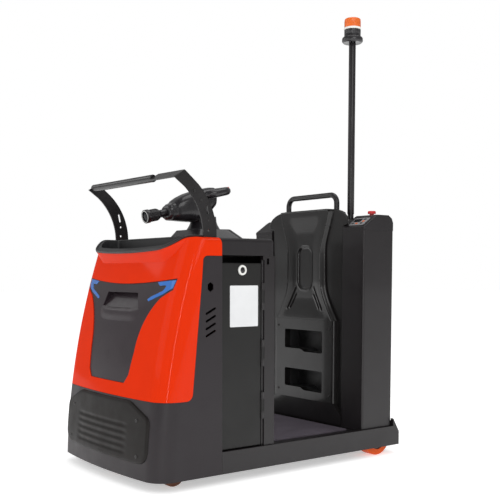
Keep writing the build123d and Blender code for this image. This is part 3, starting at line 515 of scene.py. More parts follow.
@dataclass
class Studio:
    """Camera at the photograph's place, pale floor and soft light.

    Attributes:
        camera_place: Where the camera stands.
        azimuth: Turn of the view from +Y towards -X, in degrees.
        pitch: Tilt below the horizon, in degrees.
        roll: Turn about the view, in degrees.
        lens: Focal length in millimetres.
        sensor: Width of the sensor in millimetres.
        shift: Horizontal and vertical lens shift.
        horizon: Brightness of the surround at the horizon.
        zenith: Brightness of the surround overhead.
        fade_start: Height in the surround, from 0 to 1, where it starts to darken.
        mirrored: Share of the surround that shows in glossy surfaces, as with dark flags around it.
        floor_half: Half the floor's side.
        floor_tone: Grey of the floor.
        floor_roughness: Roughness of the floor.
        floor_glow: Light that the floor itself gives off.
        lights: The lamps.
    """

    camera_place: Point = (3.0306, -2.2092, 0.8183)
    azimuth: float = 52.654
    pitch: float = 3.528
    roll: float = 0.159
    lens: float = 60.96
    sensor: float = 36.0
    shift: Pair = (0.001, 0.1502)
    horizon: float = 1.0
    zenith: float = 0.45
    fade_start: float = 0.3
    mirrored: float = 0.35
    floor_half: float = 30.0
    floor_tone: float = 0.93
    floor_roughness: float = 0.9
    floor_glow: float = 0.46
    lights: Sequence[AreaLight] = (
        AreaLight("key", (4.2, -1.2, 3.4), (0, 0, 0.6), 2.6, 52),
        AreaLight("fill", (-1.0, -4.6, 2.4), (0, -0.3, 0.6), 3.0, 22),
        AreaLight("top", (0.3, 0.6, 4.6), (0, 0, 0.5), 3.0, 44),
        AreaLight("front_strip", (3.4, -3.1, 1.3), (0.3, -0.2, 0.9), 2.6, 16, strip=0.22),
        AreaLight("left_strip", (-3.2, -2.2, 2.9), (0, -0.5, 0.8), 1.6, 13, strip=1.6),
    )

    def build(self) -> None:
        """Sets up camera, floor, surround, lights and colour handling."""
        self._camera()
        self._floor()
        self._surround()
        for light in self.lights:
            light.build()
        view = bpy.context.scene.view_settings
        view.view_transform = "Standard"
        view.look = "None"

    def _camera(self) -> None:
        """The view of the photograph."""
        data = bpy.data.cameras.new("photo_camera")
        data.sensor_width = self.sensor
        data.lens = self.lens
        data.shift_x, data.shift_y = self.shift
        camera = bpy.data.objects.new("photo_camera", data)
        turn = Matrix.Rotation(math.radians(self.azimuth), 4, "Z")
        tilt = Matrix.Rotation(math.radians(90 - self.pitch), 4, "X")
        roll = Matrix.Rotation(math.radians(self.roll), 4, "Z")
        camera.matrix_world = Matrix.Translation(self.camera_place) @ turn @ tilt @ roll
        bpy.context.scene.collection.objects.link(camera)
        bpy.context.scene.camera = camera

    def _floor(self) -> None:
        """Wide pale floor."""
        bm = bmesh.new()
        bmesh.ops.create_grid(bm, x_segments=1, y_segments=1, size=self.floor_half)
        mesh = bpy.data.meshes.new("studio_floor")
        bm.to_mesh(mesh)
        bm.free()
        floor = bpy.data.objects.new("studio_floor", mesh)
        material = bpy.data.materials.new("pale_floor")
        material.use_nodes = True
        Wiring(material.node_tree).put(material.node_tree.nodes["Principled BSDF"], {
            "Base Color": (self.floor_tone, self.floor_tone, self.floor_tone, 1),
            "Roughness": self.floor_roughness,
            "Specular IOR Level": 0.0,
            "Emission Color": (1, 1, 1, 1),
            "Emission Strength": self.floor_glow,
        })
        mesh.materials.append(material)
        bpy.context.scene.collection.objects.link(floor)

    def _surround(self) -> None:
        """White surround that darkens overhead and in reflections."""
        world = bpy.data.worlds.new("studio")
        world.use_nodes = True
        wiring = Wiring(world.node_tree)
        place = wiring.add("ShaderNodeTexCoord").outputs["Generated"]
        height = wiring.add("ShaderNodeSeparateXYZ", {"Vector": place}).outputs["Z"]
        fade = wiring.spread(height, self.fade_start, 1.0, to_low=self.horizon, to_high=self.zenith)
        glossy = wiring.add("ShaderNodeLightPath").outputs["Is Glossy Ray"]
        flags = wiring.spread(glossy, 0.0, 1.0, to_low=1.0, to_high=self.mirrored)
        wiring.put(world.node_tree.nodes["Background"], {
            "Color": (1, 1, 1, 1), "Strength": wiring.product(fade, flags),
        })
        bpy.context.scene.world = world


COWL_RED = Finish("cowl_red_moulding", (0.65, 0.0275, 0.0026), 0.32, grain_scale=500, grain_height=0.000002,
                  tone=0.02, wear=0.0, dust=0.0, edge=0.0, coat=0.22, specular=0.0)
SKIRT_GREY = Finish("skirt_grey_moulding", linear(32, 26, 30), 0.44, tone=0.05, wear=0.04, dust=0.01,
                    specular=0.42)
PANEL_DARK = Finish("panel_dark_moulding", linear(40, 31, 36), 0.36, tone=0.05, wear=0.02, dust=0.01,
                    specular=0.45)
PAD_RUBBER = Finish("bumper_rubber", linear(22, 18, 16), 0.5, grain_scale=700, tone=0.08, wear=0.0, dust=0.0,
                    edge=0.0, specular=0.25)
EDGE_RUBBER = Finish("bin_edge_rubber", linear(30, 30, 31), 0.42, grain_scale=700, grain_height=0.00003, tone=0.05,
                     wear=0.0, dust=0.02)
MARKER_BLUE = Finish("marker_lens_blue", linear(44, 104, 182), 0.14, grain_scale=300, grain_height=0.00001,
                     tone=0.05, wear=0.0, dust=0.0, coat=0.5)
TUB_BLACK = Finish("tub_black_moulding", linear(46, 46, 47), 0.46, wear=0.02, dust=0.04, specular=0.4)
FRAME_BLACK = Finish("rack_black_powder", linear(24, 22, 23), 0.36, grain_scale=1600, grain_height=0.00004,
                     wear=0.04, dust=0.01, coat=0.25, specular=0.4)
STEEL_DARK = Finish("steel_dark_powder", linear(25, 21, 23), 0.42, grain_scale=1600, grain_height=0.00004,
                    tone=0.05, wear=0.05, dust=0.01, coat=0.25, specular=0.35)
DOOR_DARK = Finish("door_dark_powder", linear(15, 14, 13), 0.4, grain_scale=1600, grain_height=0.00004, tone=0.05,
                   wear=0.05, dust=0.01, specular=0.4)
COVER_BLACK = Finish("cover_black_moulding", linear(31, 28, 30), 0.42, tone=0.05, wear=0.03, dust=0.01, coat=0.2,
                     specular=0.28)
HEAD_BLACK = Finish("tiller_black_moulding", linear(29, 27, 30), 0.3, grain_scale=1100, grain_height=0.00003,
                    tone=0.05, wear=0.02, dust=0.0, coat=0.4, specular=0.4)
SWITCH_RED = Finish("switch_red_moulding", linear(200, 26, 28), 0.28, grain_height=0.00001, tone=0.04, wear=0.0,
                    dust=0.0, coat=0.2)
MAT_RUBBER = Finish("mat_rubber_sheet", linear(90, 84, 92), 0.6, grain_scale=420, grain_height=0.00005, wear=0.0,
                    dust=0.0, edge=0.0, specular=0.1)
BACK_PAD = Finish("back_pad_skin", linear(22, 20, 20), 0.34, grain_scale=750, grain_height=0.00003, tone=0.05,
                  wear=0.0, dust=0.0, edge=0.0, coat=0.45, specular=0.3)
BATTERY_CASE = Finish("battery_case_paint", linear(36, 36, 38), specular=0.3)
ZINC_STEEL = Finish("zinc_plated_steel", linear(176, 176, 174), 0.34, metallic=1.0, grain_scale=1300,
                    grain_height=0.00003, wear=0.05, dust=0.05)
BOLT_STEEL = Finish("bolt_black_steel", linear(66, 65, 65), 0.36, metallic=0.7, grain_scale=1300,
                    grain_height=0.00002, tone=0.05, wear=0.1, dust=0.02, edge=0.0004)
BEACON_BLACK = Finish("beacon_black_moulding", linear(26, 24, 27), 0.36, wear=0.0, dust=0.0, coat=0.5,
                      specular=0.4)
COLLAR_WHITE = Finish("collar_white_moulding", linear(220, 220, 216), 0.4, grain_height=0.00002, tone=0.03,
                      wear=0.0, dust=0.02)
LABEL_WHITE = Finish("label_white_film", linear(214, 215, 216), 0.42, grain_height=0.00001, tone=0.03, wear=0.0,
                     dust=0.0, edge=0.0002)
PANEL_PALE = Finish("keypad_pale_film", linear(128, 128, 130), 0.44, grain_height=0.00002, tone=0.03, wear=0.0,
                    dust=0.02, edge=0.0004)
KEY_AMBER = Finish("key_amber_moulding", linear(206, 96, 36), 0.4, grain_height=0.00002, tone=0.03, wear=0.0,
                   dust=0.0, edge=0.0004)
LAMP_GLASS = Finish("dark_glass", linear(26, 28, 31), 0.06, grain_height=0.000001, tone=0.02, wear=0.0, dust=0.0,
                    specular=0.12)
WHEEL_ORANGE = Finish("wheel_orange_urethane", linear(206, 78, 8), 0.42, grain_scale=260, grain_height=0.0001,
                      tone=0.08, wear_colour=linear(120, 70, 45), wear=0.12, dust=0.0, specular=0.2)
CASTOR_BROWN = Finish("castor_brown_urethane", linear(106, 62, 40), grain_scale=260, grain_height=0.0001, wear=0.2,
                      dust=0.08, specular=0.3)
HUB_IRON = Finish("hub_iron_casting", linear(84, 84, 84), metallic=0.6, grain_scale=500, grain_height=0.0003,
                  wear=0.2, dust=0.08)
DRIVE_IRON = Finish("drive_iron_casting", linear(62, 62, 64), 0.55, metallic=0.4, grain_scale=420,
                    grain_height=0.0004, wear=0.2, dust=0.12)
LENS_AMBER = Finish("beacon_lens_amber", (0.72, 0.13, 0.008), 0.14, grain_height=0.00001, tone=0.1, wear=0.0,
                    dust=0.0, coat=0.4, specular=0.4)

NODE_FINISHES: dict[str, Finish] = {
    "chassis_frame": STEEL_DARK, "floor_mat": MAT_RUBBER, "front_skirt": SKIRT_GREY, "bumper_pad": PAD_RUBBER,
    "nose_cowl": COWL_RED, "nose_panel": PANEL_DARK, "marker_lights": MARKER_BLUE, "storage_bin": TUB_BLACK,
    "rack_bars": FRAME_BLACK, "rack_grip": FRAME_BLACK, "bay_bulkhead": STEEL_DARK, "battery": BATTERY_CASE,
    "battery_door_left": DOOR_DARK, "battery_door_right": DOOR_DARK, "door_ring_left": COLLAR_WHITE,
    "door_ring_right": COLLAR_WHITE, "dash_cover": COVER_BLACK, "steering_console": HEAD_BLACK,
    "tiller_head": HEAD_BLACK, "tiller_loop": HEAD_BLACK, "tiller_switch": SWITCH_RED, "head_lamp": HEAD_BLACK,
    "tower_left": STEEL_DARK, "tower_right": STEEL_DARK, "tower_cap_left": COVER_BLACK,
    "tower_cap_right": COVER_BLACK, "backrest": BACK_PAD, "locker_panel": BACK_PAD, "locker_trays": TUB_BLACK,
    "rear_cover": STEEL_DARK, "grab_handle": FRAME_BLACK, "beacon_mast": FRAME_BLACK, "beacon_base": BEACON_BLACK,
    "beacon_collar": COLLAR_WHITE, "beacon_lens": LENS_AMBER, "emergency_stop": SWITCH_RED,
    "rear_axles": ZINC_STEEL, "rear_tyre_left": WHEEL_ORANGE, "rear_tyre_right": WHEEL_ORANGE,
    "rear_hub_left": HUB_IRON, "rear_hub_right": HUB_IRON, "drive_leg": DRIVE_IRON, "drive_motor": DRIVE_IRON,
    "drive_tyre": CASTOR_BROWN, "drive_hub": HUB_IRON, "castor_fork_left": ZINC_STEEL,
    "castor_fork_right": ZINC_STEEL, "castor_wheel_left": CASTOR_BROWN, "castor_wheel_right": CASTOR_BROWN,
    "tow_hitch": STEEL_DARK, "tow_pin": ZINC_STEEL,
}


def ride_piece(name: str, mesh: bpy.types.Mesh, finish: Finish, body: Body, slot: str,
               replaced: Sequence[str] = ()) -> None:
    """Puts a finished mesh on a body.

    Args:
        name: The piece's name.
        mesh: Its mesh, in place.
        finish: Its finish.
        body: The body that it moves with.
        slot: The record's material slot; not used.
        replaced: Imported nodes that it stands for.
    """
    mesh.materials.clear()
    mesh.materials.append(finish.material())
    piece = bpy.data.objects.new(name, mesh)
    bpy.context.scene.collection.objects.link(piece)
    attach(piece, body.value)
    if replaced:
        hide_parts(*replaced)
    LOG.info("piece %s on %s", name, body.value)


def solid_mesh(name: str, points: Sequence[Vector], faces: Sequence[Sequence[int]],
               crease: float = 40.0) -> bpy.types.Mesh:
    """Merged mesh with outward faces, smooth up to a crease angle.

    Args:
        name: The mesh's name.
        points: Its corners.
        faces: Corner numbers of each face.
        crease: Angle in degrees past which an edge stays sharp.

    Returns:
        The mesh.
    """
    mesh = bpy.data.meshes.new(name)
    mesh.from_pydata([tuple(point) for point in points], [], [tuple(face) for face in faces])
    bm = bmesh.new()
    bm.from_mesh(mesh)
    bmesh.ops.remove_doubles(bm, verts=bm.verts, dist=1e-6)
    bmesh.ops.dissolve_degenerate(bm, edges=bm.edges, dist=1e-7)
    bmesh.ops.recalc_face_normals(bm, faces=bm.faces)
    for face in bm.faces:
        face.smooth = True
    bm.to_mesh(mesh)
    bm.free()
    mesh.set_sharp_from_angle(angle=math.radians(crease))
    return mesh


def tube(rings: Sequence[Sequence[Vector]], closed: bool = False) -> tuple[list[Vector], list[list[int]]]:
    """Points and faces of a tube through rings of equal count.

    Args:
        rings: The rings in order.
        closed: Whether the last ring joins the first, or both ends are capped.

    Returns:
        The points and the faces.
    """
    count = len(rings[0])
    points = [point for ring in rings for point in ring]
    faces: list[list[int]] = []
    last = len(rings) if closed else len(rings) - 1
    for row in range(last):
        below, above = row * count, (row + 1) % len(rings) * count
        for step in range(count):
            after = (step + 1) % count
            faces.append([below + step, below + after, above + after, above + step])
    if not closed:
        faces.append(list(range(count)))
        faces.append(list(range(len(points) - count, len(points))))
    return points, faces


def closed_grid(rows: int, columns: int, count: int) -> list[list[int]]:
    """Faces of a grid, of a second grid behind it and of the sides between them.

    Args:
        rows: Rows of each grid.
        columns: Columns of each grid.
        count: Points of each grid.

    Returns:
        The faces.
    """
    span = columns + 1
    faces = []
    for row in range(rows):
        for column in range(columns):
            first = row * span + column
            quad = [first, first + 1, first + 1 + span, first + span]
            faces.append(quad)
            faces.append([corner + count for corner in quad])
    border = list(range(span))
    border += [row * span + columns for row in range(1, rows + 1)]
    border += [rows * span + column for column in range(columns - 1, -1, -1)]
    border += [row * span for row in range(rows - 1, 0, -1)]
    for start, end in zip(border, border[1:] + border[:1]):
        faces.append([start, end, end + count, start + count])
    return faces


def relief(name: str, tall: float, wide: float, step: float,
           place: Callable[[float, float], tuple[Vector, Vector]]) -> bpy.types.Mesh:
    """Closed piece between a front and a back face that follow a rule.

    Args:
        name: The mesh's name.
        tall: Its height.
        wide: Its width.
        step: Distance between mesh rows.
        place: Front and back point at a share of the height, from 0 to 1, and of the half width, from -1 to 1.

    Returns:
        The mesh.
    """
    rows, columns = round(tall / step), round(wide / step)
    points = [place(row / rows, 2 * column / columns - 1)
              for row in range(rows + 1) for column in range(columns + 1)]
    front, back = zip(*points)
    return solid_mesh(name, front + back, closed_grid(rows, columns, len(points)), RELIEF_CREASE)


def lathe(name: str, profile: Sequence[Pair], origin: Point | Vector, axis: Vector, segments: int = 64,
          ring: bool = False) -> bpy.types.Mesh:
    """Turned mesh.

    Args:
        name: The mesh's name.
        profile: Radius and distance along the axis of each ring.
        origin: Where distance 0 lies.
        axis: Direction of the axis.
        segments: Sides of a ring.
        ring: Whether the profile closes on itself around a hole.

    Returns:
        The mesh.
    """
    turn = axis.to_track_quat("Z", "Y").to_matrix()
    start = Vector(origin)
    rings = []
    for radius, along in profile:
        circle = []
        for step in range(segments):
            angle = 2 * math.pi * step / segments
            circle.append(start + turn @ Vector((radius * math.cos(angle), radius * math.sin(angle), along)))
        rings.append(circle)
    return solid_mesh(name, *tube(rings, ring))


def merged(name: str, meshes: Iterable[bpy.types.Mesh]) -> bpy.types.Mesh:
    """One mesh out of several.

    Args:
        name: The new mesh's name.
        meshes: The meshes to put together.

    Returns:
        The joined mesh.
    """
    bm = bmesh.new()
    for mesh in meshes:
        bm.from_mesh(mesh)
        bpy.data.meshes.remove(mesh)
    whole = bpy.data.meshes.new(name)
    bm.to_mesh(whole)
    bm.free()
    return whole


def plate_mesh(name: str, corners: Sequence[Vector], lift: Vector, bevel: float) -> bpy.types.Mesh:
    """Thin plate with softened edges.

    Args:
        name: The mesh's name.
        corners: Its outline on the surface that carries it.
        lift: Its thickness, outwards.
        bevel: Radius of its outer edges.

    Returns:
        The mesh.
    """
    count = len(corners)
    points = list(corners) + [corner + lift for corner in corners]
    faces = [list(range(count)), list(range(count, 2 * count))]
    faces += [[step, (step + 1) % count, count + (step + 1) % count, count + step] for step in range(count)]
    mesh = solid_mesh(name, points, faces, crease=30)
    bm = bmesh.new()
    bm.from_mesh(mesh)
    half = 0.5 * lift.length_squared
    outer = [edge for edge in bm.edges if all((vert.co - points[0]).dot(lift) > half for vert in edge.verts)]
    bmesh.ops.bevel(bm, geom=outer, offset=bevel, segments=3, affect="EDGES", profile=0.5)
    bm.to_mesh(mesh)
    bm.free()
    return mesh


def rounded_rectangle(width: float, height: float, radius: float, steps: int = 6) -> list[Pair]:
    """Outline of a rectangle with round corners, centred.

    Args:
        width: Full width.
        height: Full height.
        radius: Corner radius.
        steps: Points of each corner, less one.

    Returns:
        The points in order.
    """
    points = []
    for corner, (side, rise) in enumerate(((1, 1), (-1, 1), (-1, -1), (1, -1))):
        for step in range(steps + 1):
            angle = math.pi / 2 * (corner + step / steps)
            points.append((side * (width / 2 - radius) + radius * math.cos(angle),
                           rise * (height / 2 - radius) + radius * math.sin(angle)))
    return points


class Probe:
    """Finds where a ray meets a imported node."""

    def __init__(self, node: bpy.types.Object) -> None:
        """Keeps a search tree of the node's triangles.

        Args:
            node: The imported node.
        """
        mesh = node.data
        self._tree = BVHTree.FromPolygons([v.co for v in mesh.vertices], [p.vertices for p in mesh.polygons])

    def hit(self, start: Point, along: Point) -> Vector:
        """First point of the node along a ray.

        Args:
            start: Where the ray starts.
            along: Its direction.

        Returns:
            The point, or the start where the ray misses.
        """
        place = self._tree.ray_cast(Vector(start), Vector(along))[0]
        return place if place is not None else Vector(start)

    def front(self, x: float, z: float) -> Vector:
        """First point of the node from before the nose."""
        return self.hit((x, BEFORE_NOSE, z), (0, 1, 0))


class GeometryTrees:
    """Geometry node trees for what repeats."""

    @classmethod
    def fasteners(cls) -> bpy.types.NodeTree:
        """Recessed screw or bolt heads on the points of a mesh.

        Returns:
            The tree.
        """
        taper, rim_share, recess = 0.86, 0.58, -0.6

        def fill(wiring: Wiring, given: Sockets) -> Sockets:
            """Heads with a socket, each turned at random about its own axis.

            Args:
                wiring: The tree's nodes.
                given: The tree's inputs.

            Returns:
                The tree's outputs.
            """
            add = wiring.add
            head = add("GeometryNodeMeshCone", {
                "Vertices": given["Sides"], "Radius Top": wiring.product(given["Head Radius"], taper),
                "Radius Bottom": given["Head Radius"], "Depth": given["Head Height"],
            }).outputs
            rim = add("GeometryNodeExtrudeMesh", {
                "Mesh": head["Mesh"], "Selection": head["Top"], "Offset Scale": 0,
            }).outputs
            shrink = add("GeometryNodeScaleElements", {
                "Geometry": rim["Mesh"], "Selection": rim["Top"], "Scale": rim_share,
            })
            socket = add("GeometryNodeExtrudeMesh", {
                "Mesh": shrink.outputs["Geometry"], "Selection": rim["Top"],
                "Offset Scale": wiring.product(given["Head Height"], recess),
            })
            spin = add("FunctionNodeRandomValue", {
                0: (0, 0, 0), 1: (0, 0, math.tau), "Seed": given["Seed"],
            }, data_type="FLOAT_VECTOR")
            own = add("FunctionNodeEulerToRotation", {0: spin.outputs[0]})
            face = add("FunctionNodeAlignRotationToVector", {"Vector": given["Facing"]}, axis="Z")
            turn = add("FunctionNodeRotateRotation", {
                "Rotation": face.outputs[0], "Rotate By": own.outputs[0],
            }, rotation_space="LOCAL")
            return cls._placed(wiring, given["Geometry"], socket.outputs["Mesh"], turn.outputs[0], given["Finish"])

        return shared_tree("Fasteners", TreeKind.GEOMETRY, {
            "Geometry": Socket.GEOMETRY, "Head Radius": Socket.FLOAT, "Head Height": Socket.FLOAT,
            "Sides": Socket.INTEGER, "Facing": Socket.VECTOR, "Seed": Socket.INTEGER, "Finish": Socket.MATERIAL,
        }, {"Geometry": Socket.GEOMETRY}, fill)

    @classmethod
    def rib_ring(cls) -> bpy.types.NodeTree:
        """Ribs that stand around a circle, their length along Z.

        Returns:
            The tree.
        """

        def fill(wiring: Wiring, given: Sockets) -> Sockets:
            """Ribs that face outwards.

            Args:
                wiring: The tree's nodes.
                given: The tree's inputs.

            Returns:
                The tree's outputs.
            """
            circle = wiring.add("GeometryNodeMeshCircle", {"Vertices": given["Count"], "Radius": given["Radius"]})
            rib = wiring.add("GeometryNodeMeshCube", {"Size": given["Rib"]})
            outward = wiring.add("GeometryNodeInputPosition")
            face = wiring.add("FunctionNodeAlignRotationToVector", {"Vector": outward.outputs[0]}, axis="X")
            return cls._placed(wiring, circle.outputs["Mesh"], rib.outputs["Mesh"], face.outputs[0],
                               given["Finish"])

        return shared_tree("Rib ring", TreeKind.GEOMETRY, {
            "Geometry": Socket.GEOMETRY, "Radius": Socket.FLOAT, "Count": Socket.INTEGER, "Rib": Socket.VECTOR,
            "Finish": Socket.MATERIAL,
        }, {"Geometry": Socket.GEOMETRY}, fill)

    @staticmethod
    def _placed(wiring: Wiring, points: bpy.types.NodeSocket, shape: bpy.types.NodeSocket,
                rotation: bpy.types.NodeSocket, finish: bpy.types.NodeSocket) -> Sockets:
        """Copies of a shape on points, made real and given their finish.

        Args:
            wiring: The tree's nodes.
            points: Where the copies go.
            shape: The shape.
            rotation: The turn of each copy.
            finish: Their material.

        Returns:
            The tree's output.
        """
        place = wiring.add("GeometryNodeInstanceOnPoints", {
            "Points": points, "Instance": shape, "Rotation": rotation,
        })
        real = wiring.add("GeometryNodeRealizeInstances", {"Geometry": place.outputs["Instances"]})
        coat = wiring.add("GeometryNodeSetMaterial", {"Geometry": real.outputs["Geometry"], "Material": finish})
        return {"Geometry": coat.outputs["Geometry"]}

    @staticmethod
    def bake(name: str, tree: bpy.types.NodeTree, points: Sequence[Vector],
             values: Mapping[str, object]) -> bpy.types.Mesh:
        """Runs a tree on a set of points and keeps the result as a plain mesh.

        Args:
            name: The mesh's name.
            tree: The tree.
            points: Points that the tree starts from.
            values: Input values by name.

        Returns:
            The mesh.
        """
        seed = bpy.data.meshes.new(name + "_points")
        seed.from_pydata([tuple(point) for point in points], [], [])
        holder = bpy.data.objects.new(name + "_points", seed)
        bpy.context.scene.collection.objects.link(holder)
        modifier = holder.modifiers.new("repeat", "NODES")
        modifier.node_group = tree
        for item in tree.interface.items_tree:
            if item.in_out == "INPUT" and item.name in values:
                modifier[item.identifier] = values[item.name]
        graph = bpy.context.evaluated_depsgraph_get()
        mesh = bpy.data.meshes.new_from_object(holder.evaluated_get(graph))
        mesh.name = name
        bpy.data.objects.remove(holder)
        bpy.data.meshes.remove(seed)
        return mesh


@dataclass(frozen=True)
class RibRing:
    """Ribs around a turned piece.

    Attributes:
        radius: Radius of the circle that the ribs' middles lie on.
        count: Number of ribs.
        rib: Size of a rib outwards, around and along.
    """

    radius: float
    count: int
    rib: Point

    def mesh(self, name: str, middle: Vector, axis: Vector, finish: Finish) -> bpy.types.Mesh:
        """The ribs in place.

        Args:
            name: The mesh's name.
            middle: Middle of the ring.
            axis: Direction of the ribs.
            finish: Their finish.

        Returns:
            The mesh.
        """
        ribs = GeometryTrees.bake(name, GeometryTrees.rib_ring(), [middle], {
            "Radius": self.radius, "Count": self.count, "Rib": self.rib, "Finish": finish.material(),
        })
        ribs.transform(Matrix.Translation(middle) @ axis.to_track_quat("Z", "Y").to_matrix().to_4x4())
        return ribs


@dataclass(frozen=True)
class Fastener:
    """Screw or bolt of one size.

    Attributes:
        radius: Head radius.
        height: Head height.
        sides: Corners of its head, 6 for a hexagon.
    """

    radius: float = 0.0055
    height: float = 0.0026
    sides: int = 20

    def build(self, name: str, points: Sequence[Vector], facing: Axis, body: Body = Body.CHASSIS) -> None:
        """Makes several heads as one piece.

        Args:
            name: The piece's name.
            points: Where the heads sit.
            facing: Where they face.
            body: The body that carries them.
        """
        mesh = GeometryTrees.bake(name, GeometryTrees.fasteners(), points, {
            "Head Radius": self.radius, "Head Height": self.height, "Sides": self.sides, "Facing": facing.value,
            "Seed": len(points), "Finish": BOLT_STEEL.material(),
        })
        ride_piece(name, mesh, BOLT_STEEL, body, "zinc_steel")


@dataclass
class NoseTrim:
    """Rubber edge of the bin.

    Attributes:
        nodes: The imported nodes.
        lip_radius: Radius of the rubber edge.
        lip_sides: Sides of its cross-section.
        inset_share: Share of its radius that its middle line lies inside the bin's outline.
        corner: Front corner radius of the bin's plan.
        rear_corner: Rear corner radius of the edge's plan.
        bow: Radius of the bin's bowed front.
        steps: Mesh steps along the front, each side, the rear and each corner.
    """

    nodes: Nodes
    lip_radius: float = 0.0046
    lip_sides: int = 14
    inset_share: float = 0.7
    corner: float = 0.112
    rear_corner: float = 0.012
    bow: float = 2.5
    steps: tuple[int, int, int, int] = (24, 10, 40, 12)

    def build(self) -> None:
        """Makes the edge."""
        path = self._rim_path()
        rings = []
        for step, point in enumerate(path):
            ahead = (path[(step + 1) % len(path)] - path[step - 1]).normalized()
            out = ahead.cross(UP).normalized()
            up = out.cross(ahead)
            ring = []
            for turn in range(self.lip_sides):
                angle = math.tau * turn / self.lip_sides
                ring.append(point + self.lip_radius * (math.cos(angle) * out + math.sin(angle) * up))
            rings.append(ring)
        mesh = solid_mesh("bin_edge_trim", *tube(rings, closed=True))
        ride_piece("bin_edge_trim", mesh, EDGE_RUBBER, Body.CHASSIS, "tub_black")

    def _rim_path(self) -> list[Vector]:
        """Middle line of the rubber edge, once around the bin's mouth.

        Returns:
            The points in order.
        """
        low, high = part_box("storage_bin")
        inset = self.inset_share * self.lip_radius
        half, front, back = high.x - inset, low.y + inset, high.y - inset

        def bowed(x: float) -> float:
            """Front edge at a distance from the middle."""
            return front + x * x / (2 * self.bow)

        radius, small = self.corner - inset, self.rear_corner
        edge = half - radius
        pivot = bowed(edge) + radius
        ahead, aside, behind, _ = self.steps
        plan = [(x, bowed(x)) for x in (edge * (2 * step / ahead - 1) for step in range(ahead + 1))]
        plan += self._corner(edge, pivot, radius, -math.pi / 2)
        plan += self._straight((half, pivot), (half, back - small), aside)
        plan += self._corner(half - small, back - small, small, 0)
        plan += self._straight((half - small, back), (small - half, back), behind)
        plan += self._corner(small - half, back - small, small, math.pi / 2)
        plan += self._straight((-half, back - small), (-half, pivot), aside)
        plan += self._corner(-edge, pivot, radius, math.pi)
        probe = Probe(self.nodes["storage_bin"])
        return [probe.hit((x, y, ABOVE_BIN), (0, 0, -1)) for x, y in plan]

    def _corner(self, x: float, y: float, radius: float, start: float) -> list[Pair]:
        """Quarter turn of the plan, without its end points."""
        turns = [start + math.pi / 2 * step / self.steps[3] for step in range(1, self.steps[3])]
        return [(x + radius * math.cos(turn), y + radius * math.sin(turn)) for turn in turns]

    @staticmethod
    def _straight(start: Pair, end: Pair, steps: int) -> list[Pair]:
        """Run of the plan, with its end points."""
        shares = [step / steps for step in range(steps + 1)]
        return [(start[0] + (end[0] - start[0]) * t, start[1] + (end[1] - start[1]) * t) for t in shares]


@dataclass
class BumperPad:
    """Thick rubber pad on the skirt, with soft edges and moulded waves.

    Attributes:
        nodes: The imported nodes.
        outline: Half width at each height from the bottom up.
        thickness: How far it stands off the skirt.
        edge: Radius of its edges.
        gaps: How far its back and the foot of its face stay off the skirt.
        waves: Half width of the waves, their lowest and highest end, their count and their depth.
        wave_fade: Distance over which the waves run out sideways, and up and down.
        step: Distance between mesh rows.
        screw_places: Distance from the middle and height of the screws.
        screw: Size of the screws.
    """

    nodes: Nodes
    outline: Sequence[Pair] = (
        (0.280, 0.1), (0.300, 0.1035), (0.317, 0.112), (0.329, 0.126), (0.335, 0.146), (0.335, 0.25),
        (0.332, 0.266), (0.322, 0.279), (0.232, 0.318), (0.212, 0.3265), (0.19, 0.331),
    )
    thickness: float = 0.0078
    edge: float = 0.012
    gaps: Pair = (0.0002, 0.0004)
    waves: tuple[float, float, float, int, float] = (0.215, 0.122, 0.25, 5, 0.003)
    wave_fade: Pair = (0.05, 0.006)
    step: float = 0.0035
    screw_places: Sequence[Pair] = ((0.262, 0.262), (0.275, 0.128))
    screw: Fastener = Fastener(radius=0.007)

    def build(self) -> None:
        """Makes the pad and its screws."""
        skirt = Probe(self.nodes["front_skirt"])
        bottom, top = self.outline[0][1], self.outline[-1][1]
        behind, ahead = self.gaps

        def place(up: float, across: float) -> tuple[Vector, Vector]:
            """Front and back point of the pad.

            Args:
                up: Share of the height, from 0 to 1.
                across: Share of the half width, from -1 to 1.

            Returns:
                The two points.
            """
            z = bottom + (top - bottom) * up
            x = self._half_width(z) * across
            seat = skirt.front(x, z)
            return seat + Vector((0, -ahead - self._rise(abs(x), z), 0)), seat + Vector((0, -behind, 0))

        widest = max(half for half, _ in self.outline)
        mesh = relief("bumper_pad_rubber", top - bottom, 2 * widest, self.step, place)
        ride_piece("bumper_pad_rubber", mesh, PAD_RUBBER, Body.CHASSIS, "pad_rubber", ("bumper_pad",))
        points = [skirt.front(side * x, z) + Vector((0, -self.thickness, 0))
                  for x, z in self.screw_places for side in (1, -1)]
        self.screw.build("pad_screws", points, Axis.FRONT)

    def _half_width(self, z: float) -> float:
        """Half width of the outline at a height.

        Args:
            z: Height above the floor.

        Returns:
            The half width.
        """
        for (low_half, low), (high_half, high) in zip(self.outline, self.outline[1:]):
            if z <= high:
                return low_half + (high_half - low_half) * (z - low) / (high - low)
        return self.outline[-1][0]

    def _rise(self, x: float, z: float) -> float:
        """Height of the pad's face over the skirt.

        Args:
            x: Distance from the middle.
            z: Height above the floor.

        Returns:
            The height.
        """
        inside = min(z - self.outline[0][1], self.outline[-1][1] - z)
        for (low_half, low), (high_half, high) in zip(self.outline, self.outline[1:]):
            run, rise = high_half - low_half, high - low
            inside = min(inside, (rise * (low_half - x) + run * (z - low)) / math.hypot(run, rise))
        share = 1 - min(1.0, max(0.0, inside) / self.edge)
        height = self.thickness * math.sqrt(1 - share * share)
        half, low, high, count, depth = self.waves
        sideways, upright = self.wave_fade
        fade = eased((half - x) / sideways) * eased((z - low) / upright) * eased((high - z) / upright)
        wave = 0.5 - 0.5 * math.cos(math.tau * count * (z - low) / (high - low))
        return height - depth * wave * fade


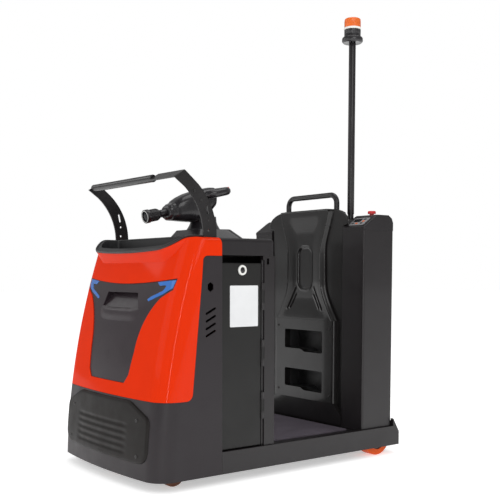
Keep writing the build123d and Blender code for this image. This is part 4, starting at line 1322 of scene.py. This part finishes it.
@dataclass
class ScoopLip:
    """Rolled lip under the nose panel's hand scoop.

    Attributes:
        nodes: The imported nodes.
        half: Half width of the lip.
        crest: Height of the crest at the middle and how much it rises at the ends.
        crest_power: How late the crest turns up towards the ends.
        fall: How far the lip runs out below and above its crest.
        proud: How far the crest stands off the panel.
        end_fade: Distance over which the lip runs out at its ends.
        probes: Distance from the middle and height at which the panel's bow is read, and the distance from the
            middle at which its slope is read beside the scoop.
        sunk: How far the lip's border lies under the panel's face.
        backing: Thickness of the lip at its border.
        step: Distance between mesh rows.
    """

    nodes: Nodes
    half: float = 0.176
    crest: Pair = (0.6585, 0.012)
    crest_power: int = 4
    fall: Pair = (0.042, 0.02)
    proud: float = 0.0052
    end_fade: float = 0.075
    probes: tuple[float, float, float] = (0.12, 0.6, 0.172)
    sunk: float = 0.0008
    backing: float = 0.0006
    step: float = 0.0025

    def build(self) -> None:
        """Makes the lip as one closed piece."""
        panel = Probe(self.nodes["nose_panel"])
        aside, height, beside = self.probes
        bow = (panel.front(aside, height).y - panel.front(0, height).y) / aside ** 2

        def place(up: float, across: float) -> tuple[Vector, Vector]:
            """Front and back point of the lip.

            Args:
                up: Share of the height, from 0 to 1.
                across: Share of the half width, from -1 to 1.

            Returns:
                The two points.
            """
            along = -self.fall[0] + sum(self.fall) * up
            x = self.half * across
            z = self.crest[0] + self.crest[1] * (x / self.half) ** self.crest_power + along
            seat = panel.front(beside, z).y - bow * (beside ** 2 - x * x) + self.sunk
            return Vector((x, seat - self._rise(x, along), z)), Vector((x, seat + self.backing, z))

        mesh = relief("scoop_lip", sum(self.fall), 2 * self.half, self.step, place)
        ride_piece("scoop_lip", mesh, PANEL_DARK, Body.CHASSIS, "panel_dark")

    def _rise(self, x: float, along: float) -> float:
        """How far the lip stands off its seat at a place across its crest."""
        share = 1 + along / self.fall[0] if along < 0 else 1 - (along / self.fall[1]) ** 2
        return (self.proud + self.sunk) * eased(max(0.0, share)) * eased((self.half - abs(x)) / self.end_fade)


@dataclass
class RackTrim:
    """Strap bolts of the rack.

    Attributes:
        nodes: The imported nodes.
        places: Place along Y and height of each bolt.
        bolt: Size of the bolts.
    """

    nodes: Nodes
    places: Sequence[Pair] = ((-0.425, 1.128), (-0.394, 1.094))
    bolt: Fastener = Fastener(radius=0.0062, height=0.003)

    def build(self) -> None:
        """Makes the bolts on the outside of both straps."""
        straps = Probe(self.nodes["rack_bars"])
        for name, side, facing in (("rack_bolts_left", 1, Axis.LEFT), ("rack_bolts_right", -1, Axis.RIGHT)):
            points = [straps.hit((side * BESIDE_RACK, y, z), (-side, 0, 0)) for y, z in self.places]
            self.bolt.build(name, points, facing)


@dataclass
class BatteryBay:
    """Blank label and lock of each battery door.

    Attributes:
        label_y: Where the label starts and ends.
        label_z: Its lower and upper edge.
        label_thickness: Thickness of the label.
        label_corner: Its corner radius.
        label_bevel: Radius of its outer edges.
        lock: Radius and height of each ring of the lock barrel in the door ring.
        lock_sides: Sides of the barrel.
    """

    label_y: Pair = (-0.288, -0.151)
    label_z: Pair = (0.608, 0.769)
    label_thickness: float = 0.0005
    label_corner: float = 0.004
    label_bevel: float = 0.0002
    lock: Sequence[Pair] = ((0, 0.0035), (0.0075, 0.0035), (0.0095, 0.0025), (0.0095, 0))
    lock_sides: int = 40

    def build(self) -> None:
        """Makes the label on the left door and both locks."""
        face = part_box("door_ring_left")[0].x
        middle_y, middle_z = sum(self.label_y) / 2, sum(self.label_z) / 2
        width, height = self.label_y[1] - self.label_y[0], self.label_z[1] - self.label_z[0]
        outline = rounded_rectangle(width, height, self.label_corner)
        corners = [Vector((face, middle_y + y, middle_z + z)) for y, z in outline]
        mesh = plate_mesh("door_label", corners, Vector((self.label_thickness, 0, 0)), self.label_bevel)
        ride_piece("door_label", mesh, LABEL_WHITE, Body.DOOR_LEFT, "collar_white")
        for ring, side, body in (("door_ring_left", 1, Body.DOOR_LEFT), ("door_ring_right", -1, Body.DOOR_RIGHT)):
            low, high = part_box(ring)
            middle = (low + high) / 2
            seat = (low.x if side > 0 else high.x, middle.y, middle.z)
            barrel = lathe(ring + "_lock", self.lock, seat, Vector((side, 0, 0)), self.lock_sides)
            ride_piece(ring + "_lock", barrel, HEAD_BLACK, body, "head_black")


@dataclass
class Tiller:
    """Sculpted tiller head and its lamp.

    Attributes:
        spindle_y: Place of the tiller's spindle along Y.
        sections: Distance behind the spindle, half width, bottom and top above the console of each ring.
        ring_sides: Points of each ring.
        squareness: Exponent of the rings' rounded corners.
        crease: Angle in degrees past which an edge of the head stays sharp.
        neck: Radius and height above the console of each ring of the neck.
        lens_rise: Height of the lamp's middle above the console.
        lens_ahead: Distance of the lamp's lens ahead of the spindle.
        tilt: Droop of the lamp in degrees.
        lamp: Radius and distance behind the lens of each ring of the lamp's body.
        grip: Ribs around the lamp's body.
        grip_middle: Distance of the ribs' middle behind the lens.
        bezel: Radius and distance behind the lens of each ring of the bezel.
        glass: Radius and distance behind the lens's middle of each ring of the lens.
    """

    spindle_y: float = -0.147
    sections: Sequence[tuple[float, float, float, float]] = (
        (-0.192, 0.024, 0.054, 0.084), (-0.191, 0.033, 0.046, 0.092), (-0.186, 0.037, 0.042, 0.097),
        (-0.176, 0.039, 0.040, 0.101), (-0.175, 0.043, 0.036, 0.105), (-0.163, 0.045, 0.035, 0.110),
        (-0.162, 0.0425, 0.0375, 0.108), (-0.150, 0.050, 0.036, 0.122), (-0.128, 0.056, 0.034, 0.136),
        (-0.095, 0.0605, 0.033, 0.152), (-0.060, 0.062, 0.033, 0.164), (-0.020, 0.060, 0.048, 0.175),
        (0.015, 0.057, 0.078, 0.183), (0.033, 0.053, 0.096, 0.184), (0.037, 0.046, 0.104, 0.178),
        (0.038, 0.030, 0.120, 0.164),
    )
    ring_sides: int = 56
    squareness: float = 3.2
    crease: float = 50.0
    neck: Sequence[Pair] = (
        (0.0715, 0.001), (0.072, 0.004), (0.068, 0.010), (0.061, 0.022), (0.056, 0.036), (0.054, 0.058),
    )
    lens_rise: float = 0.046
    lens_ahead: float = 0.290
    tilt: float = 12.0
    lamp: Sequence[Pair] = (
        (0.0205, 0.006), (0.0215, 0.0005), (0.027, 0), (0.028, 0.0012), (0.028, 0.017), (0.0268, 0.0195),
        (0.0242, 0.0215), (0.0242, 0.058), (0.0225, 0.062), (0.0165, 0.071), (0.016, 0.074), (0.016, 0.108),
    )
    grip: RibRing = RibRing(0.0243, 30, (0.0022, 0.0026, 0.031))
    grip_middle: float = 0.0395
    bezel: Sequence[Pair] = (
        (0.0205, 0.0016), (0.0212, 0.0001), (0.0255, -0.0006), (0.0262, 0.0006), (0.0258, 0.0014),
    )
    glass: Sequence[Pair] = (
        (0, 0.0028), (0.008, 0.003), (0.0155, 0.0038), (0.0206, 0.0056), (0.0206, 0.0064), (0, 0.0064),
    )

    def build(self) -> None:
        """Makes the head, the lamp's body, its grip ribs, its bezel and its lens."""
        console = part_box("steering_console")[1].z
        rings = [self._ring(console, section) for section in self.sections]
        shell = solid_mesh("head_shell", *tube(rings), self.crease)
        neck = lathe("head_neck", self.neck, (0, self.spindle_y, console), UP)
        ride_piece("tiller_head_shell", merged("tiller_head_shell", (shell, neck)), HEAD_BLACK, Body.TILLER,
                   "head_black", ("tiller_head",))
        self._lamp(Vector((0, self.spindle_y - self.lens_ahead, console + self.lens_rise)))

    def _ring(self, console: float, section: tuple[float, float, float, float]) -> list[Vector]:
        """One rounded cross-section of the head.

        Args:
            console: Height of the console's top.
            section: The row of the sections.

        Returns:
            The ring's points.
        """
        behind, half, low, high = section
        middle, rise = console + (low + high) / 2, (high - low) / 2
        ring = []
        for step in range(self.ring_sides):
            angle = math.tau * step / self.ring_sides
            c, s = math.cos(angle), math.sin(angle)
            reach = (abs(c) ** self.squareness + abs(s) ** self.squareness) ** (-1 / self.squareness)
            ring.append(Vector((half * reach * c, self.spindle_y + behind, middle + rise * reach * s)))
        return ring

    def _lamp(self, lens: Vector) -> None:
        """Lamp on the head's nose.

        Args:
            lens: Middle of the lens.
        """
        lean = math.radians(self.tilt)
        axis = Vector((0, math.cos(lean), math.sin(lean)))
        shell = lathe("lamp_shell", self.lamp, lens, axis)
        ribs = self.grip.mesh("lamp_ribs", lens + axis * self.grip_middle, axis, HEAD_BLACK)
        ride_piece("head_lamp_body", merged("head_lamp_body", (shell, ribs)), HEAD_BLACK, Body.TILLER,
                   "head_black", ("head_lamp",))
        bezel = lathe("head_lamp_bezel", self.bezel, lens, axis, ring=True)
        ride_piece("head_lamp_bezel", bezel, ZINC_STEEL, Body.TILLER, "zinc_steel")
        glass = lathe("head_lamp_lens", self.glass, lens, axis)
        ride_piece("head_lamp_lens", glass, LAMP_GLASS, Body.TILLER, "head_black")


@dataclass(frozen=True)
class Bead:
    """Soft bead beside an edge.

    Attributes:
        height: Height of the bead.
        place: Distance of its middle from the edge.
        width: Distance from its middle over which it falls off.
    """

    height: float
    place: float
    width: float

    def rise(self, distance: float) -> float:
        """Height at a distance from the edge."""
        return self.height * math.exp(-((distance - self.place) / self.width) ** 2)


@dataclass
class Backrest:
    """Moulded backrest with an hourglass ridge, a sunk oblong, ribs and wings above the towers.

    Attributes:
        ridge: Share of the height and half width along the hourglass.
        ridge_slant: Share that turns a distance across the hourglass into one square to its side.
        flank: How far outside the hourglass its flank starts, and the flank's width.
        ridge_bead: Bead along the hourglass.
        dish: Depth of the hollow inside the hourglass, its distance from the side and the width of its slope.
        dish_ends: Shares of the height over which the hollow runs out at the bottom and the top.
        proud: How far the middle stands ahead of the plate.
        plate: Thickness of the plate.
        thinnest: Least thickness.
        wing: Half width of the wings, height where they start and height where they round over.
        wing_flare: How many times over the outline would reach the wings' width between those heights.
        wing_face: How far the wings stand ahead of the plate.
        wing_ramp: Height below the wings over which the plate comes forward.
        wing_back: Distance of the wings' back from the backrest's back.
        wing_step: Width of the step behind the wings.
        crown: Half width of the straight part of the upper edge.
        edge: Radius of the outline's edge.
        oblong: Half width, middle share of the height, half height, corner radius and depth.
        oblong_flank: Width of the oblong's flank.
        oblong_bead: Bead around the oblong.
        ribs: Upper and lower end of each rib as distance from the middle and share of the height.
        rib_size: Height and half width of the ribs.
        rib_top: Width of a rib's flat top and flank in half widths.
        step: Distance between mesh rows.
    """

    ridge: Sequence[Pair] = (
        (0.0, 0.203), (0.1, 0.171), (0.2, 0.144), (0.29, 0.127), (0.37, 0.122), (0.61, 0.122), (0.68, 0.126),
        (0.75, 0.137), (0.87, 0.159), (1.0, 0.178),
    )
    ridge_slant: float = 0.92
    flank: Pair = (0.006, 0.011)
    ridge_bead: Bead = Bead(0.0016, 0.0055, 0.0026)
    dish: tuple[float, float, float] = (0.008, 0.006, 0.07)
    dish_ends: Pair = (0.2, 0.25)
    proud: float = 0.022
    plate: float = 0.012
    thinnest: float = 0.001
    wing: tuple[float, float, float] = (0.283, 1.030, 1.046)
    wing_flare: float = 2.0
    wing_face: float = 0.004
    wing_ramp: float = 0.2
    wing_back: float = 0.0095
    wing_step: float = 0.003
    crown: float = 0.146
    edge: float = 0.008
    oblong: tuple[float, float, float, float, float] = (0.046, 0.47, 0.097, 0.036, 0.006)
    oblong_flank: float = 0.007
    oblong_bead: Bead = Bead(0.0022, 0.0055, 0.0034)
    ribs: Sequence[tuple[Pair, Pair]] = (((0.063, 0.227), (0.102, 0.106)), ((0.065, 0.291), (0.122, 0.098)))
    rib_size: Pair = (0.003, 0.0058)
    rib_top: float = 1.25
    step: float = 0.0032

    def build(self) -> None:
        """Makes the backrest as one closed piece."""
        low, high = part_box("backrest")

        def place(up: float, across: float) -> tuple[Vector, Vector]:
            """Front and back point of the backrest.

            Args:
                up: Share of the height, from 0 to 1.
                across: Share of the half width, from -1 to 1.

            Returns:
                The two points.
            """
            z = low.z + (high.z - low.z) * up
            half = self._half_width(high.x, high.z, z)
            x = half * across
            rear = high.y - self.wing_back * eased((abs(x) - high.x + self.wing_step) / self.wing_step)
            front = min(self._depth(x, z, half, low, high), rear - self.thinnest)
            return Vector((x, front, z)), Vector((x, rear, z))

        mesh = relief("backrest_moulding", high.z - low.z, 2 * self.wing[0], self.step, place)
        ride_piece("backrest_moulding", mesh, BACK_PAD, Body.CHASSIS, "back_pad", ("backrest",))

    def _half_width(self, half: float, top: float, z: float) -> float:
        """Half width of the outline at a height: straight sides, then wings that round over to the upper edge.

        Args:
            half: Half width of the straight sides.
            top: Height of the upper edge.
            z: Height.

        Returns:
            The half width.
        """
        reach, start, knee = self.wing
        if z <= knee:
            return half + (reach - half) * eased((z - start) / (knee - start) * self.wing_flare)
        share = (z - knee) / (top - knee)
        return self.crown + (reach - self.crown) * math.sqrt(max(0.0, 1 - share * share))

    def _ridge_half(self, share: float) -> float:
        """Half width of the hourglass, on a smooth curve.

        Args:
            share: Share of the height.

        Returns:
            The half width.
        """
        table, last = self.ridge, len(self.ridge) - 1
        index = next((step for step in range(last) if share <= table[step + 1][0]), last - 1)
        (low, low_value), (high, high_value) = table[index], table[index + 1]
        before, after = table[max(0, index - 1)], table[min(last, index + 2)]
        span = high - low
        t = min(1.0, max(0.0, (share - low) / span))
        start = (high_value - before[1]) / (high - before[0]) * span
        end = (after[1] - low_value) / (after[0] - low) * span
        return ((2 * t ** 3 - 3 * t * t + 1) * low_value + (t ** 3 - 2 * t * t + t) * start
                + (3 * t * t - 2 * t ** 3) * high_value + (t ** 3 - t * t) * end)

    def _depth(self, x: float, z: float, half: float, low: Vector, high: Vector) -> float:
        """Place of the front face along Y.

        Args:
            x: Distance from the middle.
            z: Height.
            half: Half width of the outline there.
            low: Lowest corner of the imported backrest.
            high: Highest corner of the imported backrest.

        Returns:
            The Y of the face.
        """
        height = high.z - low.z
        share = (z - low.z) / height
        forward = eased((z - self.wing[1] + self.wing_ramp) / self.wing_ramp)
        plate = high.y - self.plate - self.wing_face * forward
        crest = high.y - self.plate - self.proud
        inward = self.ridge_slant * (self._ridge_half(share) - abs(x))
        y = plate + (crest - plate) * eased((inward + self.flank[0]) / self.flank[1])
        y -= self.ridge_bead.rise(inward)
        depth, start, slope = self.dish
        bottom, top = self.dish_ends
        y += depth * eased((inward - start) / slope) * eased(share / bottom) * eased((1 - share) / top)
        y += self._oblong_depth(x, z - low.z - self.oblong[1] * height)
        y -= self._rib_rise(abs(x), z - low.z, height)
        border = min(half - abs(x), high.z - z)
        if border < self.edge:
            y += self.edge - math.sqrt(max(0.0, self.edge ** 2 - (self.edge - border) ** 2))
        return y

    def _oblong_depth(self, x: float, z: float) -> float:
        """Depth of the sunk oblong and the bead around it.

        Args:
            x: Distance from the middle.
            z: Height above the oblong's middle.

        Returns:
            The depth, below 0 on the bead.
        """
        half, _, tall, corner, depth = self.oblong
        over_x, over_z = abs(x) - half + corner, abs(z) - tall + corner
        outside = math.hypot(max(over_x, 0), max(over_z, 0)) + min(max(over_x, over_z), 0) - corner
        return depth * eased(0.5 - outside / self.oblong_flank) - self.oblong_bead.rise(outside)

    def _rib_rise(self, x: float, z: float, height: float) -> float:
        """Height of the ribs under the oblong.

        Args:
            x: Distance from the middle.
            z: Height above the backrest's lower edge.
            height: Height of the backrest.

        Returns:
            The ribs' height.
        """
        rise, (tall, half) = 0.0, self.rib_size
        for (upper_x, upper), (lower_x, lower) in self.ribs:
            start, end = Vector((upper_x, upper * height)), Vector((lower_x, lower * height))
            run = end - start
            t = min(1.0, max(0.0, (Vector((x, z)) - start).dot(run) / run.length_squared))
            gap = (Vector((x, z)) - start - run * t).length
            rise = max(rise, tall * eased(self.rib_top - gap / half))
        return rise


@dataclass(frozen=True)
class KeypadPlate:
    """Rounded plate of the keypad.

    Attributes:
        name: The piece's name.
        place: Its middle from the keypad's middle, across and up the slope.
        size: Its width and length.
        lift: Height of its underside and of its face.
        corner: Corner radius.
        finish: Its finish.
        slot: The record's material slot.
    """

    name: str
    place: Pair
    size: Pair
    lift: Pair
    corner: float
    finish: Finish
    slot: str


@dataclass
class Keypad:
    """Blank keypad on the left tower's sloped face: a pale plate, a dark window and keys.

    Attributes:
        slope: Start and end of the cap's sloped face as distance behind the cap's front and height above its foot.
        share: Where up the slope the keypad's middle lies.
        plates: The plate and the window.
        keys: Middle of each key, across and up the slope.
        amber: Which of the keys are amber.
        key_size: Width and length of a key.
        key_lift: Height of a key's underside and of its face.
        corner: Corner radius of a key.
        bevel: Radius of the plates' outer edges.
    """

    slope: tuple[Pair, Pair] = ((0.0, 0.013), (0.073, 0.063))
    share: float = 0.52
    plates: Sequence[KeypadPlate] = (
        KeypadPlate("keypad_plate", (0, 0), (0.092, 0.058), (0, 0.0012), 0.006, PANEL_PALE, "cover_black"),
        KeypadPlate("keypad_window", (-0.017, 0.008), (0.046, 0.026), (0.0012, 0.0018), 0.003, LAMP_GLASS,
                    "head_black"),
    )
    keys: Sequence[Pair] = ((0.024, 0.016), (0.024, 0.0), (0.024, -0.016), (-0.005, -0.017), (-0.028, -0.017))
    amber: Sequence[int] = (1, 3)
    key_size: Pair = (0.015, 0.0085)
    key_lift: Pair = (0.0012, 0.0026)
    corner: float = 0.003
    bevel: float = 0.0004

    def build(self) -> None:
        """Makes the plate, the window and the keys."""
        low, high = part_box("tower_cap_left")
        front, rear = (Vector((0, low.y + behind, low.z + above)) for behind, above in self.slope)
        up = (rear - front).normalized()
        out = Vector((1, 0, 0)).cross(up)
        middle = front + (rear - front) * self.share + Vector(((low.x + high.x) / 2, 0, 0))
        keys = [KeypadPlate(f"keypad_key_{index + 1}", place, self.key_size, self.key_lift, self.corner,
                            KEY_AMBER if index in self.amber else HEAD_BLACK, "head_black")
                for index, place in enumerate(self.keys)]
        for plate in (*self.plates, *keys):
            (x, y), (bottom, top) = plate.place, plate.lift
            base = middle + Vector((x, 0, 0)) + up * y + out * bottom
            corners = [base + Vector((across, 0, 0)) + up * along
                       for across, along in rounded_rectangle(*plate.size, plate.corner)]
            mesh = plate_mesh(plate.name, corners, out * (top - bottom), self.bevel)
            ride_piece(plate.name, mesh, plate.finish, Body.CHASSIS, plate.slot)


@dataclass
class RearBody:
    """Locker screws, rear screws, mast bolts and hitch bolts.

    Attributes:
        nodes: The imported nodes.
        locker_places: Distance from the middle and height of each locker screw.
        cover_half: Distance of the rear cover's screws from the middle.
        cover_heights: Heights of the rear cover's screws.
        screw: Size of the locker's and the cover's screws.
        mast_circle: Radius of the mast's bolt circle.
        mast_count: Bolts on that circle.
        mast_flange: Thickness of the mast's flange.
        mast_bolt: Size of the mast's bolts.
        hitch_half: Distance of the hitch's bolts from the middle.
        hitch_inset: Distance of those bolts from the hitch's upper and lower edge.
        hitch_plate: Thickness of the hitch's plate.
        hitch_bolt: Size of the hitch's bolts.
    """

    nodes: Nodes
    locker_places: Sequence[Pair] = ((0.182, 0.565), (0.182, 0.255))
    cover_half: float = 0.226
    cover_heights: Sequence[float] = (0.18, 0.42, 0.66, 0.92)
    screw: Fastener = Fastener()
    mast_circle: float = 0.024
    mast_count: int = 4
    mast_flange: float = 0.008
    mast_bolt: Fastener = Fastener(radius=0.0048, height=0.004, sides=6)
    hitch_half: float = 0.066
    hitch_inset: float = 0.016
    hitch_plate: float = 0.012
    hitch_bolt: Fastener = Fastener(radius=0.0085, height=0.006, sides=6)

    def build(self) -> None:
        """Makes all the fasteners."""
        face = Probe(self.nodes["locker_panel"])
        points = [face.hit((side * x, 0, z), (0, 1, 0)) for x, z in self.locker_places for side in (1, -1)]
        self.screw.build("locker_screws", points, Axis.FRONT)
        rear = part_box("rear_cover")[1].y
        points = [Vector((side * self.cover_half, rear, z)) for side in (1, -1) for z in self.cover_heights]
        self.screw.build("rear_cover_screws", points, Axis.REAR)
        low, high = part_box("beacon_mast")
        middle, foot = (low + high) / 2, low.z + self.mast_flange
        turns = [math.tau * (step + 0.5) / self.mast_count for step in range(self.mast_count)]
        points = [Vector((middle.x + self.mast_circle * math.cos(turn),
                          middle.y + self.mast_circle * math.sin(turn), foot)) for turn in turns]
        self.mast_bolt.build("mast_bolts", points, Axis.UP)
        low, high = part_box("tow_hitch")
        heights = (low.z + self.hitch_inset, high.z - self.hitch_inset)
        points = [Vector((side * self.hitch_half, rear + self.hitch_plate, z))
                  for side in (1, -1) for z in heights]
        self.hitch_bolt.build("hitch_bolts", points, Axis.REAR)


@dataclass
class Beacon:
    """Beacon on the mast: flanged base, pale collar and ringed amber lens with flutes.

    Attributes:
        base: Radius and height of each ring of the base.
        collar: Radius and height of each ring of the collar.
        base_sides: Sides of the base and the collar.
        radius: Radius of the lens.
        lens_sides: Sides of the lens.
        lens_heights: Where the lens starts and ends above the mast.
        ring_pitch: Distance between the lens rings.
        ring_steps: Mesh steps of each lens ring.
        ring_depth: Depth of the lens rings.
        dome: Radius of the lens's upper edge.
        dome_steps: Mesh steps around that edge.
        crown: Share of the lens's radius, and rise above its edge, of each ring of its top.
        flutes: Upright flutes around the lens.
        flutes_rise: Share of the lens's height at which the flutes' middle lies.
        sleeve: Bore, end radius and radius of the sleeve on the mast.
        sleeve_chamfer: Length of its end chamfers.
        sleeve_sides: Sides of the sleeve.
        sleeve_gap: Length of the mast's foot that stays bare.
    """

    base: Sequence[Pair] = (
        (0.0138, 0.002), (0.041, 0.0), (0.0465, 0.006), (0.047, 0.010), (0.0465, 0.020), (0.043, 0.0245),
        (0.038, 0.026), (0.037, 0.028), (0.037, 0.036), (0.0364, 0.0368), (0.0364, 0.0382), (0.037, 0.039),
        (0.037, 0.057), (0.0355, 0.058),
    )
    collar: Sequence[Pair] = (
        (0.0355, 0.0575), (0.038, 0.058), (0.0385, 0.0588), (0.0385, 0.0662), (0.038, 0.067), (0.0355, 0.0675),
    )
    base_sides: int = 72
    radius: float = 0.0365
    lens_sides: int = 96
    lens_heights: Pair = (0.067, 0.108)
    ring_pitch: float = 0.0052
    ring_steps: int = 6
    ring_depth: float = 0.0008
    dome: float = 0.009
    dome_steps: int = 12
    crown: Sequence[Pair] = ((0.5, 0.0004), (0, 0.0006))
    flutes: RibRing = RibRing(0.0359, 36, (0.0016, 0.0022, 0.0246))
    flutes_rise: float = 0.36
    sleeve: tuple[float, float, float] = (0.0136, 0.0152, 0.0155)
    sleeve_chamfer: float = 0.0008
    sleeve_sides: int = 48
    sleeve_gap: float = 0.035

    def build(self) -> None:
        """Makes the base, the collar, the mast's sleeve, the lens and its flutes."""
        low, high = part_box("beacon_base")
        foot = Vector(((low.x + high.x) / 2, (low.y + high.y) / 2, low.z))
        base = lathe("beacon_base_turned", self.base, foot, UP, self.base_sides)
        ride_piece("beacon_base_turned", base, BEACON_BLACK, Body.CHASSIS, "beacon_black", ("beacon_base",))
        collar = lathe("beacon_collar_turned", self.collar, foot, UP, self.base_sides)
        ride_piece("beacon_collar_turned", collar, COLLAR_WHITE, Body.CHASSIS, "collar_white", ("beacon_collar",))
        self._sleeve(foot)
        start, end = self.lens_heights
        lens = lathe("lens_rings", self._profile(end - start), foot + UP * start, UP, self.lens_sides)
        middle = foot + UP * (start + self.flutes_rise * (end - start))
        ribs = self.flutes.mesh("lens_flutes", middle, UP, LENS_AMBER)
        ride_piece("beacon_lens_rings", merged("beacon_lens_rings", (lens, ribs)), LENS_AMBER, Body.CHASSIS,
                   "lens_amber", ("beacon_lens",))

    def _sleeve(self, top: Vector) -> None:
        """Sleeve around the mast.

        Args:
            top: Middle of the sleeve's upper end.
        """
        low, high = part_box("beacon_mast")
        tall = high.z - low.z - self.sleeve_gap
        bore, end, radius = self.sleeve
        profile = [(bore, 0), (end, 0), (radius, self.sleeve_chamfer), (radius, tall - self.sleeve_chamfer),
                   (end, tall), (bore, tall)]
        mesh = lathe("mast_sleeve", profile, top - UP * tall, UP, self.sleeve_sides, ring=True)
        ride_piece("mast_sleeve", mesh, STEEL_DARK, Body.CHASSIS, "steel_dark")

    def _profile(self, tall: float) -> list[Pair]:
        """Rings of the lens from its seat to the middle of its top.

        Args:
            tall: Height of the lens.

        Returns:
            Radius and height of each ring.
        """
        profile = [(self.radius, 0.0)]
        straight = tall - self.dome
        steps = round(straight / self.ring_pitch * self.ring_steps)
        for step in range(1, steps + 1):
            along = straight * step / steps
            wave = abs(math.sin(math.pi * along / self.ring_pitch))
            profile.append((self.radius - self.ring_depth * (1 - wave), along))
        inner = self.radius - self.dome
        for step in range(1, self.dome_steps + 1):
            angle = math.pi / 2 * step / self.dome_steps
            profile.append((inner + self.dome * math.cos(angle), straight + self.dome * math.sin(angle)))
        return profile + [(share * self.radius, tall + rise) for share, rise in self.crown]


@dataclass
class RunningGear:
    """Bolts on the rear hubs.

    Attributes:
        bolt_circle: Radius of the bolt circle.
        count: Bolts on each hub.
        dish: Depth of the hub's dish.
        bolt: Size of the bolts.
    """

    bolt_circle: float = 0.031
    count: int = 5
    dish: float = 0.007
    bolt: Fastener = Fastener(radius=0.006, height=0.005, sides=6)

    def build(self) -> None:
        """Makes the bolts of both rear hubs."""
        for hub, body, facing in (("rear_hub_left", Body.REAR_LEFT, Axis.LEFT),
                                  ("rear_hub_right", Body.REAR_RIGHT, Axis.RIGHT)):
            low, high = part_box(hub)
            middle = (low + high) / 2
            face = high.x - self.dish if facing is Axis.LEFT else low.x + self.dish
            turns = [math.tau * step / self.count for step in range(self.count)]
            points = [Vector((face, middle.y + self.bolt_circle * math.cos(turn),
                              middle.z + self.bolt_circle * math.sin(turn))) for turn in turns]
            self.bolt.build(hub + "_bolts", points, facing, body)


def dress_nodes(nodes: Nodes) -> None:
    """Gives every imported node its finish.

    Args:
        nodes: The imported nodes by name.
    """
    for name, node in nodes.items():
        node.data.materials.clear()
        node.data.materials.append(NODE_FINISHES[name].material())
        LOG.info("node %s takes %s", name, NODE_FINISHES[name].name)


def main() -> None:
    """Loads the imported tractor, dresses it and sets the studio."""
    logging.basicConfig(level=logging.INFO, format="%(message)s")
    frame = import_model()
    nodes = frame["nodes"]
    Studio().build()
    dress_nodes(nodes)
    for assembly in (NoseTrim(nodes), BumperPad(nodes), ScoopLip(nodes), RackTrim(nodes), BatteryBay(), Tiller(),
                     Backrest(), Keypad(), RearBody(nodes), Beacon(), RunningGear()):
        assembly.build()


if __name__ == "__main__":
    main()
